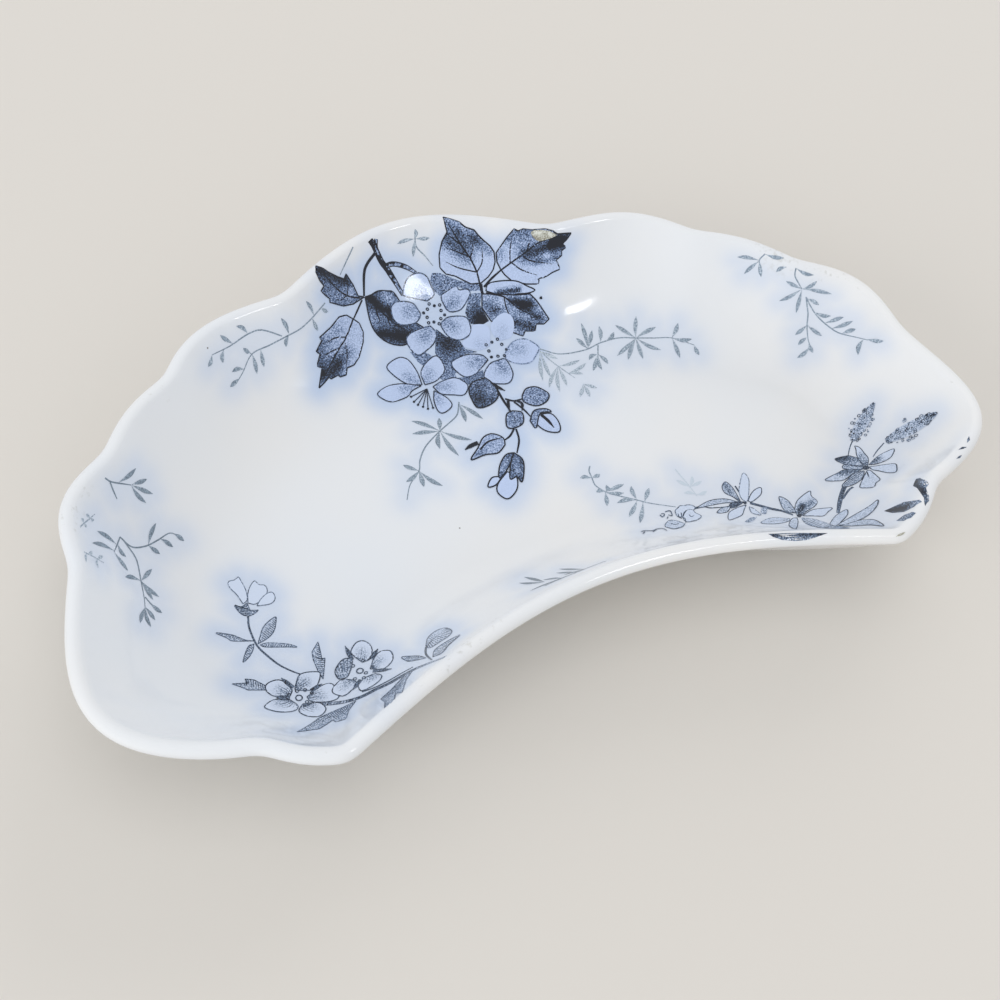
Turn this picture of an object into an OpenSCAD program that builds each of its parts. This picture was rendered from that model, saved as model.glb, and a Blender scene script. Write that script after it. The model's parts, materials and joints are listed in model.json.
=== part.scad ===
// Crescent bone dish of glazed earthenware, a side dish that curves round a dinner plate.
// Millimetres. It stands on its foot rim at z = 0, with +X along its length and +Y towards the back lobe.

/* [Outline] */
// Length over the two end lobes
dish_length = 160; // [140:1:190]
// Depth from the horn tips to the top of the back lobe
dish_depth = 90.5; // [82:0.5:105]
// Height of the rim above the table
dish_height = 20; // [17:0.5:26]
// How far the front edge bows in at its middle, to clear the plate
front_bow = 12; // [6:0.2:16]
// Reach along the rim of the rounding in each valley between lobes
valley_round = 2.6; // [1:0.1:4]

/* [Lobes] */
// Rise of the back lobe, as a share of its chord
back_lobe = 0.19; // [0.1:0.01:0.24]
// Rise of the shoulder lobes beside it
shoulder_lobe = 0.14; // [0.06:0.005:0.18]
// Rise of the small lobes next to the shoulders
side_lobe = 0.08; // [0.03:0.005:0.12]
// Rise of the corner lobes
corner_lobe = 0.185; // [0.08:0.005:0.22]
// Rise of the end lobes
end_lobe = 0.33; // [0.2:0.01:0.36]
// Rise of the short lobes between the end lobes and the horn tips
horn_lobe = 0.07; // [0.02:0.01:0.12]

/* [Wall] */
// Thickness of the rounded lip
lip_thickness = 2.6; // [2:0.1:4]
// Thickness of the floor, glaze included
floor_thickness = 4; // [3:0.1:5.5]
// Width of the wall in plan, behind the back lobe
wall_back = 27; // [22:0.5:32]
// Width of the wall in plan, at the front edge
wall_front = 17; // [13:0.5:21]
// Width of the wall in plan, at the end lobes
wall_end = 20; // [16:0.5:25]
// How strongly the wall coves: 1 is a straight slope, 2 a parabola
wall_cove = 1.9; // [1.4:0.05:2.2]
// Thickness of the fired glaze
glaze = 0.25; // [0.1:0.05:0.4]

/* [Floor and foot] */
// Width of the floor across each arm of the crescent
arm_floor = 28; // [22:1:34]
// How far the middles of the arms lie in front of the middle of the floor
arm_droop = 14; // [8:0.5:20]
// Height of the foot rim
foot_height = 1.5; // [0.8:0.1:2.5]
// Width of the face that the foot rim stands on
foot_face = 2.2; // [1.4:0.1:3.5]
// Distance of the foot rim inside the edge of the floor
foot_set = 1.2; // [0.6:0.1:3]
// Slope of each side of the foot rim, in plan
foot_draft = 0.5; // [0.2:0.1:1]

/* [Hidden] */

// Points round each ring, and steps of the fine curve that each lobe of the rim is measured on
ring_points = 132;
lobe_steps = 24;

// Valleys of the right side from the back to the horn tip, as shares of half the length and half the depth
right_valleys = [
    [0.293, 0.788], [0.612, 0.570], [0.794, 0.294],
    [0.918, -0.148], [0.742, -0.830], [0.592, -0.993]];
// Valleys of the left side, which the modeller cut a little differently
left_valleys = [
    [-0.322, 0.787], [-0.609, 0.578], [-0.776, 0.342],
    [-0.908, -0.035], [-0.733, -0.862], [-0.602, -0.995]];
// Rises of the lobes between them as shares of their chords, and how far their crests lean to the front
lobe_rises = [shoulder_lobe, side_lobe, corner_lobe, end_lobe, horn_lobe];
lobe_leans = [1.2, 1, 1, 1.13, 1];

// Shares of the wall's run, from lip to floor, at which rings lie on its two sides
inner_stations = [0, 0.12, 0.3, 0.5, 0.74, 1];
outer_stations = [0, 0.33, 0.66, 1];
// Angle from the inner side of the lip at which the wall runs into it, and angles on over its crest
lip_meet = 35;
lip_angles = [62, 90, 125, 160, 190];
// Width of the flat band that lines the edge of the floor
floor_band = 3;

lip_radius = lip_thickness / 2;
lip_z = dish_height - lip_radius;
wall_top_in = lip_radius * (1 + cos(lip_meet));
wall_top_z = lip_z + lip_radius * sin(lip_meet);
floor_z = foot_height + floor_thickness;
foot_width = foot_face + 2 * foot_draft;

// The floor is a swept shape: its half width runs along an arc, the spine, from arm to arm
floor_half = (dish_depth - front_bow - wall_back - wall_front) / 2;
spine_y = dish_depth / 2 - wall_back - floor_half;
arm_x = dish_length / 2 - wall_end - arm_floor / 2;
spine_radius = (arm_x * arm_x + arm_droop * arm_droop) / (2 * arm_droop);
spine_centre = [0, spine_y - spine_radius];
spine_reach = asin(arm_x / spine_radius);

function unit(v) = v / norm(v);
function flip(list) = [for (i = [len(list) - 1:-1:0]) list[i]];
function join(lists) = [for (list = lists) each list];
function mix(a, b, t) = a + (b - a) * t;

// Half sine bow from p to just short of q
function bow(p, q, rise, lean = 1) =
    let (side = unit([p.y - q.y, q.x - p.x]))
    [for (k = [0:lobe_steps - 1])
        let (t = k / lobe_steps)
        mix(p, q, t) + rise * sin(180 * pow(t, lean)) * side];

// The rim clockwise from the right end of the back lobe, with the front edge bowing in between the horn tips
function corner(v) = [v.x * dish_length / 2, v.y * dish_depth / 2];
right = [for (v = right_valleys) corner(v)];
left = flip([for (v = left_valleys) corner(v)]);
function lobes(corners, rises, leans) =
    join([for (i = [0:len(corners) - 2])
        bow(corners[i], corners[i + 1], rises[i] * norm(corners[i + 1] - corners[i]), leans[i])]);
fine_rim = concat(
    lobes(right, lobe_rises, lobe_leans),
    bow(right[len(right) - 1], left[0], -front_bow),
    lobes(left, flip(lobe_rises), [for (lean = flip(lobe_leans)) 1 / lean]),
    bow(left[len(left) - 1], right[0], back_lobe * norm(right[0] - left[len(left) - 1])),
    [right[0]]);

// The fine rim by distance travelled along it, softened in the valleys and spaced evenly
travel = [for (i = 0, s = 0; i < len(fine_rim);
    s = s + (i + 1 < len(fine_rim) ? norm(fine_rim[i + 1] - fine_rim[i]) : 0), i = i + 1) s];
rim_length = travel[len(travel) - 1];
travel_x = [for (i = [0:len(fine_rim) - 1]) [travel[i], fine_rim[i].x]];
travel_y = [for (i = [0:len(fine_rim) - 1]) [travel[i], fine_rim[i].y]];
function rim_at(s) =
    let (w = s - rim_length * floor(s / rim_length))
    [lookup(w, travel_x), lookup(w, travel_y)];
soft_taps = [-3, -2, -1, 0, 1, 2, 3];
soft_weights = [for (k = soft_taps) 1 + cos(45 * k)];
function sum_of(list) = list * [for (_ = list) 1];
function soft_rim_at(s) =
    soft_weights * [for (k = soft_taps) rim_at(s + k * valley_round / 3)] / sum_of(soft_weights);
soft_rim = [for (i = [0:ring_points - 1]) soft_rim_at(i * rim_length / ring_points)];

// The softened rim, set to the dish's full length and depth about its middle
soft_x = [for (p = soft_rim) p.x];
soft_y = [for (p = soft_rim) p.y];
function fitted(value, all, size) = ((value - min(all)) / (max(all) - min(all)) - 0.5) * size;
rim = [for (p = soft_rim) [fitted(p.x, soft_x, dish_length), fitted(p.y, soft_y, dish_depth)]];

// At each rim point: the way in across the lip, its nearest place on the spine, and the edge of the floor
function rim_next(i) = rim[(i + 1) % ring_points];
function rim_last(i) = rim[(i + ring_points - 1) % ring_points];
lip_in = [for (i = [0:ring_points - 1]) let (d = unit(rim_next(i) - rim_last(i))) [d.y, -d.x]];
spine_turn = [for (p = rim)
    max(-spine_reach, min(spine_reach, atan2(p.x - spine_centre.x, p.y - spine_centre.y)))];
spine_place = [for (a = spine_turn) spine_centre + spine_radius * [sin(a), cos(a)]];
floor_reach = [for (a = spine_turn) mix(floor_half, arm_floor / 2, (1 - cos(180 * a / spine_reach)) / 2)];
function floor_point(i, inset = 0) =
    spine_place[i] + unit(rim[i] - spine_place[i]) * (floor_reach[i] - inset);

// Rings of points. "deep" is how far below the glazed surface a ring lies
function flat_ring(inset, z) = [for (i = [0:ring_points - 1]) [each floor_point(i, inset), z]];
function lip_ring(angle, deep) =
    [for (i = [0:ring_points - 1])
        [each rim[i] + lip_in[i] * (lip_radius + (lip_radius - deep) * cos(angle)),
         lip_z + (lip_radius - deep) * sin(angle)]];
// The coved wall at one share of its run, moved square to its own surface by "depth"
function wall_ring(share, depth) =
    [for (i = [0:ring_points - 1])
        let (
            top = rim[i] + lip_in[i] * wall_top_in,
            run = norm(floor_point(i) - top),
            out = unit(floor_point(i) - top),
            fall = -(wall_top_z - floor_z) * wall_cove * pow(1 - share, wall_cove - 1) / run,
            length = norm([1, fall]))
        [each top + out * (run * share + depth * fall / length),
         floor_z + (wall_top_z - floor_z) * pow(1 - share, wall_cove) - depth / length]];
function wall_thickness(share) = mix(lip_thickness, floor_thickness, share);

// The dish's whole surface from the middle of the floor, over the lip and down to the foot rim
function skin(deep) = concat(
    [flat_ring(floor_band, floor_z - deep)],
    [for (share = flip(inner_stations)) wall_ring(share, deep)],
    [for (angle = lip_angles) lip_ring(angle, deep)],
    [for (share = outer_stations) wall_ring(share, wall_thickness(share) - deep)],
    [flat_ring(foot_set, foot_height + deep)]);

// The two triangles of a four-sided face, cut along its shorter diagonal, so that layers also meet
function two_triangles(p, a, b, c, d) =
    norm(p[a] - p[c]) < norm(p[b] - p[d]) ? [[a, b, c], [a, c, d]] : [[a, b, d], [b, c, d]];

// Closed solid through rings of points, with the first and last ring capped
module loft(rings) {
    points = join(rings);
    last = (len(rings) - 1) * ring_points;
    side_faces = [for (j = [0:ring_points:last - 1], i = [0:ring_points - 1])
        let (k = (i + 1) % ring_points)
        each two_triangles(points, j + i, j + k, j + k + ring_points, j + i + ring_points)];
    caps = [[for (i = [ring_points - 1:-1:0]) i], [for (i = [0:ring_points - 1]) last + i]];
    polyhedron(points, concat(side_faces, caps), convexity = 8);
}

// Biscuit-fired clay: the dish under its glaze, with the foot rim that it stands on left bare
module earthenware_body() {
    foot_rings = [
        flat_ring(foot_set + foot_draft, 0),
        flat_ring(foot_set + foot_draft + foot_face, 0),
        flat_ring(foot_set + foot_width, foot_height + glaze)];
    color("antiquewhite") loft(concat(skin(glaze), foot_rings));
}

// Clear glaze over the face, the lip and the back of the wall, down to the foot rim
module glaze_coat() {
    color("ghostwhite") loft(concat(skin(0), flip(skin(glaze))));
}

// The same glaze in the hollow inside the foot rim, cut to the slope of the rim's inner side
module base_glaze() {
    slope_at_face = foot_draft * foot_height / (foot_height + glaze);
    color("ghostwhite") loft([
        flat_ring(foot_set + foot_width, foot_height + glaze),
        flat_ring(foot_set + foot_draft + foot_face + slope_at_face, foot_height)]);
}

earthenware_body();
glaze_coat();
base_glaze();
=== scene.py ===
"""Crescent bone dish of glazed earthenware with a blue-grey floral print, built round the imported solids."""

import bisect
import json
import math
import random

import bmesh
import bpy
from mathutils import Matrix, Vector
from mathutils.bvhtree import BVHTree
from mathutils.geometry import intersect_point_line
from mathutils.kdtree import KDTree

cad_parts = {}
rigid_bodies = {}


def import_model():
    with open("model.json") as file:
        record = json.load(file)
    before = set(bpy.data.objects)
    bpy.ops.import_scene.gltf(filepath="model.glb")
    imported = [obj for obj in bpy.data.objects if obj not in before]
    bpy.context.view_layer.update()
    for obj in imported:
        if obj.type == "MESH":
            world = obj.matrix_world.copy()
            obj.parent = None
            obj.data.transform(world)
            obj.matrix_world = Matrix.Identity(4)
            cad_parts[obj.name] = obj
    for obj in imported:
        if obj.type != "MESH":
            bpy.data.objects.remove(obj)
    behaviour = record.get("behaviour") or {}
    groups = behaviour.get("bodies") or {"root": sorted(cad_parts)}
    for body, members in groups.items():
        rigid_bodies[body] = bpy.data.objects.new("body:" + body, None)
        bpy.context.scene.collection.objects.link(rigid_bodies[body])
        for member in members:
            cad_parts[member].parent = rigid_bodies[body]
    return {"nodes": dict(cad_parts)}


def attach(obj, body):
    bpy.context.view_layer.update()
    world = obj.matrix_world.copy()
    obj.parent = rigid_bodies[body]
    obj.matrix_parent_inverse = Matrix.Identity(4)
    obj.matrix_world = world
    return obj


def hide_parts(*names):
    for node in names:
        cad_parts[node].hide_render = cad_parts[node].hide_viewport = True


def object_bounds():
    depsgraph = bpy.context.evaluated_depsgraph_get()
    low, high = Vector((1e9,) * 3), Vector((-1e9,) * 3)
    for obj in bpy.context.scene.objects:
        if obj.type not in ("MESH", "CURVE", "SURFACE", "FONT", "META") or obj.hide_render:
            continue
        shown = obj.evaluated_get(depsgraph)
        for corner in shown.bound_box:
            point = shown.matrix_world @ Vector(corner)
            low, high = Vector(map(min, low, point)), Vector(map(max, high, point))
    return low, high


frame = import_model()
CAD_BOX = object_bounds()

bl_info = {
    "name": "Crescent bone dish",
    "version": (1, 0, 0),
    "blender": (4, 5, 0),
    "location": "View3D > Sidebar > Bone dish",
    "description": "Dresses the solids of a crescent bone dish with clay, glaze and an underglaze print",
    "category": "Object",
}

MM = 0.001
SENSOR = 36.0
# Pixels along each side of the photograph, which the places of the print are picked in
PHOTO = 1000


def linear(code):
    """A colour written as sRGB hex, in linear light."""
    parts = [int(code[i:i + 2], 16) / 255 for i in (1, 3, 5)]
    return tuple(c / 12.92 if c <= 0.04045 else ((c + 0.055) / 1.055) ** 2.4 for c in parts)


def length(name, description, mm):
    return bpy.props.FloatProperty(
        name=name, description=description, default=mm * MM, precision=5, unit="LENGTH")


def share(name, description, value):
    return bpy.props.FloatProperty(name=name, description=description, default=value)


def angle(name, description, degrees):
    return bpy.props.FloatProperty(
        name=name, description=description, default=math.radians(degrees), unit="ROTATION")


def colour(name, description, code):
    return bpy.props.FloatVectorProperty(
        name=name, description=description, default=linear(code), subtype="COLOR", min=0, max=1)


class DishSizes(bpy.types.PropertyGroup):
    """Sizes of the dish, as the solids have them."""
    front_bow: length("Front bow", "How far the front edge bows in at its middle", 12)
    valley_round: length("Valley rounding", "Reach of the rounding in each valley of the rim", 2.6)
    lip: length("Lip thickness", "Thickness of the rounded lip", 2.6)
    floor: length("Floor thickness", "Thickness of the floor, glaze included", 4)
    wall_back: length("Back wall", "Width of the wall in plan behind the back lobe", 27)
    wall_front: length("Front wall", "Width of the wall in plan at the front edge", 17)
    wall_end: length("End wall", "Width of the wall in plan at the end lobes", 20)
    wall_cove: share("Wall cove", "How strongly the wall coves: 1 is straight, 2 a parabola", 1.9)
    glaze: length("Glaze", "Thickness of the fired glaze", 0.25)
    arm_floor: length("Arm floor", "Width of the floor across each arm", 28)
    arm_droop: length("Arm droop", "How far the arms' middles lie in front of the floor's middle", 14)
    foot_height: length("Foot height", "Height of the foot rim", 1.5)
    foot_face: length("Foot face", "Width of the face that the foot rim stands on", 2.2)
    foot_set: length("Foot set", "Distance of the foot rim inside the edge of the floor", 1.2)
    foot_draft: length("Foot draft", "Slope of each side of the foot rim in plan", 0.5)


class DishColours(bpy.types.PropertyGroup):
    """Colours of the clay, the glaze and the print."""
    glaze_cool: colour("Glaze", "White of the glaze where it lies thick", "#E2E6EA")
    glaze_warm: colour("Glaze over clay", "White of the glaze where the clay shows through", "#E6E7E7")
    flow: colour("Flow blue", "Blue that bled into the glaze round the print", "#B9CBE6")
    speck: colour("Speck", "Pits and kiln dirt in the glaze", "#6B655E")
    wear: colour("Rim wear", "Worn and stained glaze along the lip", "#989686")
    worn_pale: colour("Worn glaze", "Glaze rubbed dull, with the clay showing through", "#D9DCD3")
    clay: colour("Biscuit clay", "Bare clay of the foot rim", "#D8CDBB")
    clay_stain: colour("Stained clay", "Table dirt rubbed into the bare clay", "#A8977E")
    petal: colour("Petal", "Palest tone of the dark sprays", "#BDCEED")
    ink_mid: colour("Half-tone", "Middle tone of the dark sprays", "#5F769B")
    ink_dark: colour("Full ink", "Darkest tone of the dark sprays", "#070F1E")
    side_pale: colour("Side petal", "Palest tone of the side sprays", "#CDD9EC")
    side_mid: colour("Side half-tone", "Middle tone of the side sprays", "#697C96")
    side_dark: colour("Side ink", "Darkest tone of the side sprays", "#101A2A")
    sprig_pale: colour("Sprig wash", "Palest tone of the sprigs", "#CAD6E1")
    sprig_mid: colour("Sprig half-tone", "Middle tone of the sprigs", "#8E9EAE")
    sprig_dark: colour("Sprig ink", "Darkest tone of the sprigs", "#62717E")
    table: colour("Table", "Plain pale floor", "#D9D5CE")


class PrintSizes(bpy.types.PropertyGroup):
    """Sizes of the printed film."""
    film: length("Film", "Thickness of one layer of printed ink", 0.0015)
    lift: length("Lift", "Height of the lowest layer over the glaze", 0.02)
    step: length("Step", "Height of each motif over the one before it", 0.0015)
    cell: length("Cell", "Largest facet of the film", 0.45)
    outline: length("Outline", "Width of an engraved outline", 0.24)
    hatch: length("Hatch line", "Width of an engraved shading line", 0.12)
    stipple: length("Stipple", "Size of the grain of the half-tones", 0.24)


class StageSizes(bpy.types.PropertyGroup):
    """Camera of the photograph and the table."""
    aim: bpy.props.FloatVectorProperty(
        name="Aim", description="Point at the middle of the picture", unit="LENGTH",
        default=(-9.16 * MM, -13.84 * MM, 18.3 * MM))
    distance: length("Distance", "Distance of the camera from the aim", 236.8)
    heading: angle("Heading", "Plan direction that the camera looks in, from +X", 49.54)
    elevation: angle("Elevation", "Height of the camera over the horizon", 55.36)
    roll: angle("Roll", "Turn of the picture about the line of sight", 16.34)
    lens: bpy.props.FloatProperty(name="Lens", description="Focal length for a 36 mm sensor", default=54.0)
    table: length("Table", "Side of the square table top", 4000)


def sizes_mm(context):
    """The dish's sizes in millimetres by name, with its length, depth and height from the solids."""
    group = context.scene.dish_sizes
    found = {key: getattr(group, key) / MM for key in group.__annotations__}
    found["wall_cove"] = group.wall_cove
    low, high = CAD_BOX
    found["length"], found["depth"], found["height"] = ((high[i] - low[i]) / MM for i in range(3))
    return found


# Valleys of the rim on each side from the back to the horn tip, as shares of half the length and half the
# depth
RIGHT_VALLEYS = (
    (0.293, 0.788), (0.612, 0.570), (0.794, 0.294), (0.918, -0.148), (0.742, -0.830), (0.592, -0.993),
)
LEFT_VALLEYS = (
    (-0.322, 0.787), (-0.609, 0.578), (-0.776, 0.342), (-0.908, -0.035), (-0.733, -0.862), (-0.602, -0.995),
)
# Rise of the lobe after each valley as a share of its chord, and how far its crest leans to the front
LOBES = ((0.14, 1.2), (0.08, 1.0), (0.185, 1.0), (0.33, 1.13), (0.07, 1.0))
BACK_RISE = 0.19
# Points along each lobe, and places to each side over which a valley is softened
LOBE_STEPS = 24
SOFT_TAPS = range(-3, 4)
# Angle from the inner side of the lip at which the wall runs into it, the angle at which its back leaves it,
# and the share of the wall's run at which the back has come clear of the lip
LIP_MEET, LIP_LEAVE, BACK_START = 35, 206, 0.06
# Shares of the floor's half width at which the first ring of its face and the last ring of its hollow lie
FACE_START, HOLLOW_END = 0.06, 0.3


def bow(start, end, rise, lean=1.0):
    """Half sine bow from one point to just short of another."""
    along = end - start
    side = Vector((-along.y, along.x)).normalized()
    ways = [k / LOBE_STEPS for k in range(LOBE_STEPS)]
    return [start + along * t + side * rise * math.sin(math.pi * t ** lean) for t in ways]


def lobes(corners, shapes):
    """Bows between a row of corners, by pairs of a rise as a share of the chord and a lean."""
    line = []
    for start, end, (rise, lean) in zip(corners, corners[1:], shapes):
        line += bow(start, end, rise * (end - start).length, lean)
    return line


def travelled(line):
    """Distances along a line at each of its points."""
    travel = [0.0]
    for a, b in zip(line, line[1:]):
        travel.append(travel[-1] + (b - a).length)
    return travel


def point_at(line, travel, distance):
    """Point at one distance along a line."""
    k = max(1, min(bisect.bisect_right(travel, distance), len(line) - 1))
    step = travel[k] - travel[k - 1]
    return line[k - 1].lerp(line[k], (distance - travel[k - 1]) / step if step else 0)


def fitted(values, size):
    """Values moved and stretched so that they run from minus to plus half the size."""
    low, high = min(values), max(values)
    return [((v - low) / (high - low) - 0.5) * size for v in values]


class DishForm:
    """Rings of points round the dish in millimetres, by the rules that its solids follow."""

    def __init__(self, size, count):
        self.size = size
        self.count = count
        self.lip_radius = size["lip"] / 2
        self.lip_z = size["height"] - self.lip_radius
        self.floor_z = size["foot_height"] + size["floor"]
        self.top_in = self.lip_radius * (1 + math.cos(math.radians(LIP_MEET)))
        self.top_z = self.lip_z + self.lip_radius * math.sin(math.radians(LIP_MEET))
        self.rim = self.soft_rim()
        near = [(self.rim[i - 1], self.rim[(i + 1) % count]) for i in range(count)]
        self.lip_in = [Vector(((b - a).y, -(b - a).x)).normalized() for a, b in near]
        self.lay_floor()

    def soft_rim(self):
        """The rim clockwise from the right end of the back lobe, soft in its valleys and evenly spaced."""
        size = self.size
        half = (size["length"] / 2, size["depth"] / 2)
        right = [Vector((x * half[0], y * half[1])) for x, y in RIGHT_VALLEYS]
        left = [Vector((x * half[0], y * half[1])) for x, y in reversed(LEFT_VALLEYS)]
        line = lobes(right, LOBES) + bow(right[-1], left[0], -size["front_bow"])
        line += lobes(left, [(rise, 1 / lean) for rise, lean in reversed(LOBES)])
        line += bow(left[-1], right[0], BACK_RISE * (right[0] - left[-1]).length) + [right[0]]
        travel = travelled(line)

        def soft(distance):
            places = [(distance + k * size["valley_round"] / 3) % travel[-1] for k in SOFT_TAPS]
            weights = [1 + math.cos(math.pi * k / 4) for k in SOFT_TAPS]
            total = sum((point_at(line, travel, p) * w for p, w in zip(places, weights)), Vector((0, 0)))
            return total / sum(weights)

        points = [soft(travel[-1] * i / self.count) for i in range(self.count)]
        return [Vector(pair) for pair in zip(fitted([p.x for p in points], size["length"]),
                                             fitted([p.y for p in points], size["depth"]))]

    def lay_floor(self):
        """The floor's half width runs along an arc, the spine, between the middles of the two arms."""
        size = self.size
        half = (size["depth"] - size["front_bow"] - size["wall_back"] - size["wall_front"]) / 2
        middle = size["depth"] / 2 - size["wall_back"] - half
        arm = size["length"] / 2 - size["wall_end"] - size["arm_floor"] / 2
        radius = (arm ** 2 + size["arm_droop"] ** 2) / (2 * size["arm_droop"])
        reach = math.asin(arm / radius)
        turns = [max(-reach, min(reach, math.atan2(p.x, p.y - middle + radius))) for p in self.rim]
        self.spine = [Vector((radius * math.sin(a), middle - radius + radius * math.cos(a))) for a in turns]
        spread = size["arm_floor"] / 2 - half
        self.reach = [half + spread * (1 - math.cos(math.pi * a / reach)) / 2 for a in turns]

    def floor_point(self, i, inset=0.0, part=1.0):
        out = (self.rim[i] - self.spine[i]).normalized()
        return self.spine[i] + out * (self.reach[i] * part - inset)

    def flat_ring(self, z, inset=0.0, part=1.0):
        return [(*self.floor_point(i, inset, part), z) for i in range(self.count)]

    def lip_ring(self, degrees, deep):
        """Ring round the lip, by the angle from its inner side over its crest to its outer side."""
        turn, round_ = math.radians(degrees), self.lip_radius - deep
        ways = [p + n * (self.lip_radius + round_ * math.cos(turn)) for p, n in zip(self.rim, self.lip_in)]
        return [(*p, self.lip_z + round_ * math.sin(turn)) for p in ways]

    def wall_ring(self, part, depth):
        """Ring on the coved wall at one share of its run, moved square to its surface by depth."""
        drop, cove = self.top_z - self.floor_z, self.size["wall_cove"]
        ring = []
        for i in range(self.count):
            top = self.rim[i] + self.lip_in[i] * self.top_in
            run = self.floor_point(i) - top
            fall = -drop * cove * (1 - part) ** (cove - 1) / run.length
            slant = math.hypot(1, fall)
            place = top + run.normalized() * (run.length * part + depth * fall / slant)
            ring.append((*place, self.floor_z + drop * (1 - part) ** cove - depth / slant))
        return ring

    def back_ring(self, part, deep):
        """Ring on the outer side of the wall."""
        thick = self.size["lip"] + (self.size["floor"] - self.size["lip"]) * part
        return self.wall_ring(part, thick - deep)


def steps(first, last, count):
    return [first + (last - first) * k / (count - 1) for k in range(count)]


def skin(form, deep, floor_rings, wall_rings, lip_rings, back_rings):
    """Rings of the dish's whole surface from the middle of the floor over the lip to the foot rim, at one
    depth below the glazed surface. Each has its share of lip wear, which sets in over the last tenth of the
    wall and is gone an eighth of the way down its back."""
    size = form.size
    face = steps(FACE_START, 1, floor_rings)[:-1]
    rings = [(form.flat_ring(form.floor_z - deep, part=k), 0.0) for k in face]
    rings += [(form.wall_ring(1 - k, deep), max(0.0, 10 * k - 9)) for k in steps(0, 1, wall_rings)]
    rings += [(form.lip_ring(a, deep), 1.0) for a in steps(LIP_MEET, LIP_LEAVE, lip_rings)[1:]]
    rings += [(form.back_ring(k, deep), max(0.0, 0.5 - 4 * k)) for k in steps(BACK_START, 1, back_rings)]
    rings.append((form.flat_ring(size["foot_height"] + deep, inset=size["foot_set"]), 0.0))
    return rings


def loft(bm, rings):
    """Closed solid through rings of points in millimetres: a circle set on the first ring and extruded to
    the rest. Returns each ring's vertices."""
    made = [bmesh.ops.create_circle(bm, segments=len(rings[0]), radius=1)["verts"]]
    for points in rings[1:]:
        last = made[-1]
        edges = [bm.edges.get((last[i - 1], last[i])) for i in range(len(last))]
        grown = bmesh.ops.extrude_edge_only(bm, edges=edges)["geom"]
        fresh = {g for g in grown if isinstance(g, bmesh.types.BMVert)}
        made.append([next(e.other_vert(v) for e in v.link_edges if e.other_vert(v) in fresh) for v in last])
    for verts, points in zip(made, rings):
        for vert, point in zip(verts, points):
            vert.co = Vector(point) * MM
    for verts in (made[0], made[-1]):
        edges = [bm.edges.get((verts[i - 1], verts[i])) for i in range(len(verts))]
        bmesh.ops.triangle_fill(bm, use_beauty=True, edges=edges)
    bmesh.ops.recalc_face_normals(bm, faces=bm.faces)
    return made


def new_piece(context, bm, name, material, replaced=None):
    """A finished mesh at the origin that rides on the dish's root body, and hides the part that it replaces.
    """
    mesh = bpy.data.meshes.new(name)
    bm.to_mesh(mesh)
    bm.free()
    mesh.polygons.foreach_set("use_smooth", [True] * len(mesh.polygons))
    piece = bpy.data.objects.new(name, mesh)
    context.collection.objects.link(piece)
    mesh.materials.append(material)
    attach(piece, "root")
    if replaced:
        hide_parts(replaced)
    return piece


def add_node(tree, kind, links=(), **settings):
    """Adds a shader node: links is pairs of an input and either a value or an output to join to it."""
    node = tree.nodes.new(kind)
    for key, value in settings.items():
        setattr(node, key, value)
    for key, value in links:
        if isinstance(value, bpy.types.NodeSocket):
            tree.links.new(value, node.inputs[key])
        else:
            node.inputs[key].default_value = value
    return node


def new_material(name):
    material = bpy.data.materials.new(name)
    material.use_nodes = True
    tree = material.node_tree
    shader = tree.nodes["Principled BSDF"]
    where = add_node(tree, "ShaderNodeTexCoord").outputs["Object"]
    return material, tree, shader, where


def ramp(tree, value, stops):
    """Colour ramp from pairs of a position and a linear colour."""
    node = add_node(tree, "ShaderNodeValToRGB", [("Fac", value)])
    marks = node.color_ramp.elements
    while len(marks) < len(stops):
        marks.new(0.5)
    for mark, (position, tint) in zip(marks, stops):
        mark.position = position
        mark.color = (*tint, 1.0)
    return node.outputs["Color"]


def carried(tree, name):
    """Value that a mesh carries at each of its points."""
    return add_node(tree, "ShaderNodeAttribute", attribute_name=name).outputs["Fac"]


def noise(tree, where, mm, detail, roughness=0.5):
    """Noise with a grain of some millimetres."""
    node = add_node(tree, "ShaderNodeTexNoise", [
        ("Vector", where), ("Scale", 1 / (mm * MM)), ("Detail", detail), ("Roughness", roughness)])
    return node.outputs["Fac"]


def joined(tree, operation, one, other, **settings):
    """Two values joined by a sum or a product."""
    node = add_node(tree, "ShaderNodeMath", [(0, one), (1, other)], operation=operation, **settings)
    return node.outputs["Value"]


def ranged(tree, value, low, high, to_low=0.0, to_high=1.0):
    """A value moved from one range to another, and held inside it."""
    node = add_node(tree, "ShaderNodeMapRange", [
        ("Value", value), ("From Min", low), ("From Max", high), ("To Min", to_low), ("To Max", to_high)])
    return node.outputs["Result"]


def mixed(tree, part, one, other):
    """One colour with a share of another over it."""
    node = add_node(tree, "ShaderNodeMix", [("Factor", part), (6, one), (7, (*other, 1))], data_type="RGBA")
    return node.outputs[2]


def bumped(tree, height, mm, under=()):
    """Normal of a surface that rises by some millimetres with a height."""
    node = add_node(tree, "ShaderNodeBump", [
        ("Height", height), ("Distance", mm * MM), ("Strength", 1.0), *under])
    return node.outputs["Normal"]


# Waves in the fired glaze, about 9 mm long and under a hundredth high, that make its reflections wander, and
# the finer orange peel on them
WAVE_MM, WAVE_HEIGHT_MM = 9.0, 0.008
PIT_MM, PIT_HEIGHT_MM = 1.1, 0.002
# Roughness of the glaze at its smoothest and its dullest, and how strongly it bends light
GLAZE_SMOOTH, GLAZE_DULL, GLAZE_INDEX = 0.05, 0.11, 1.52


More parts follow.
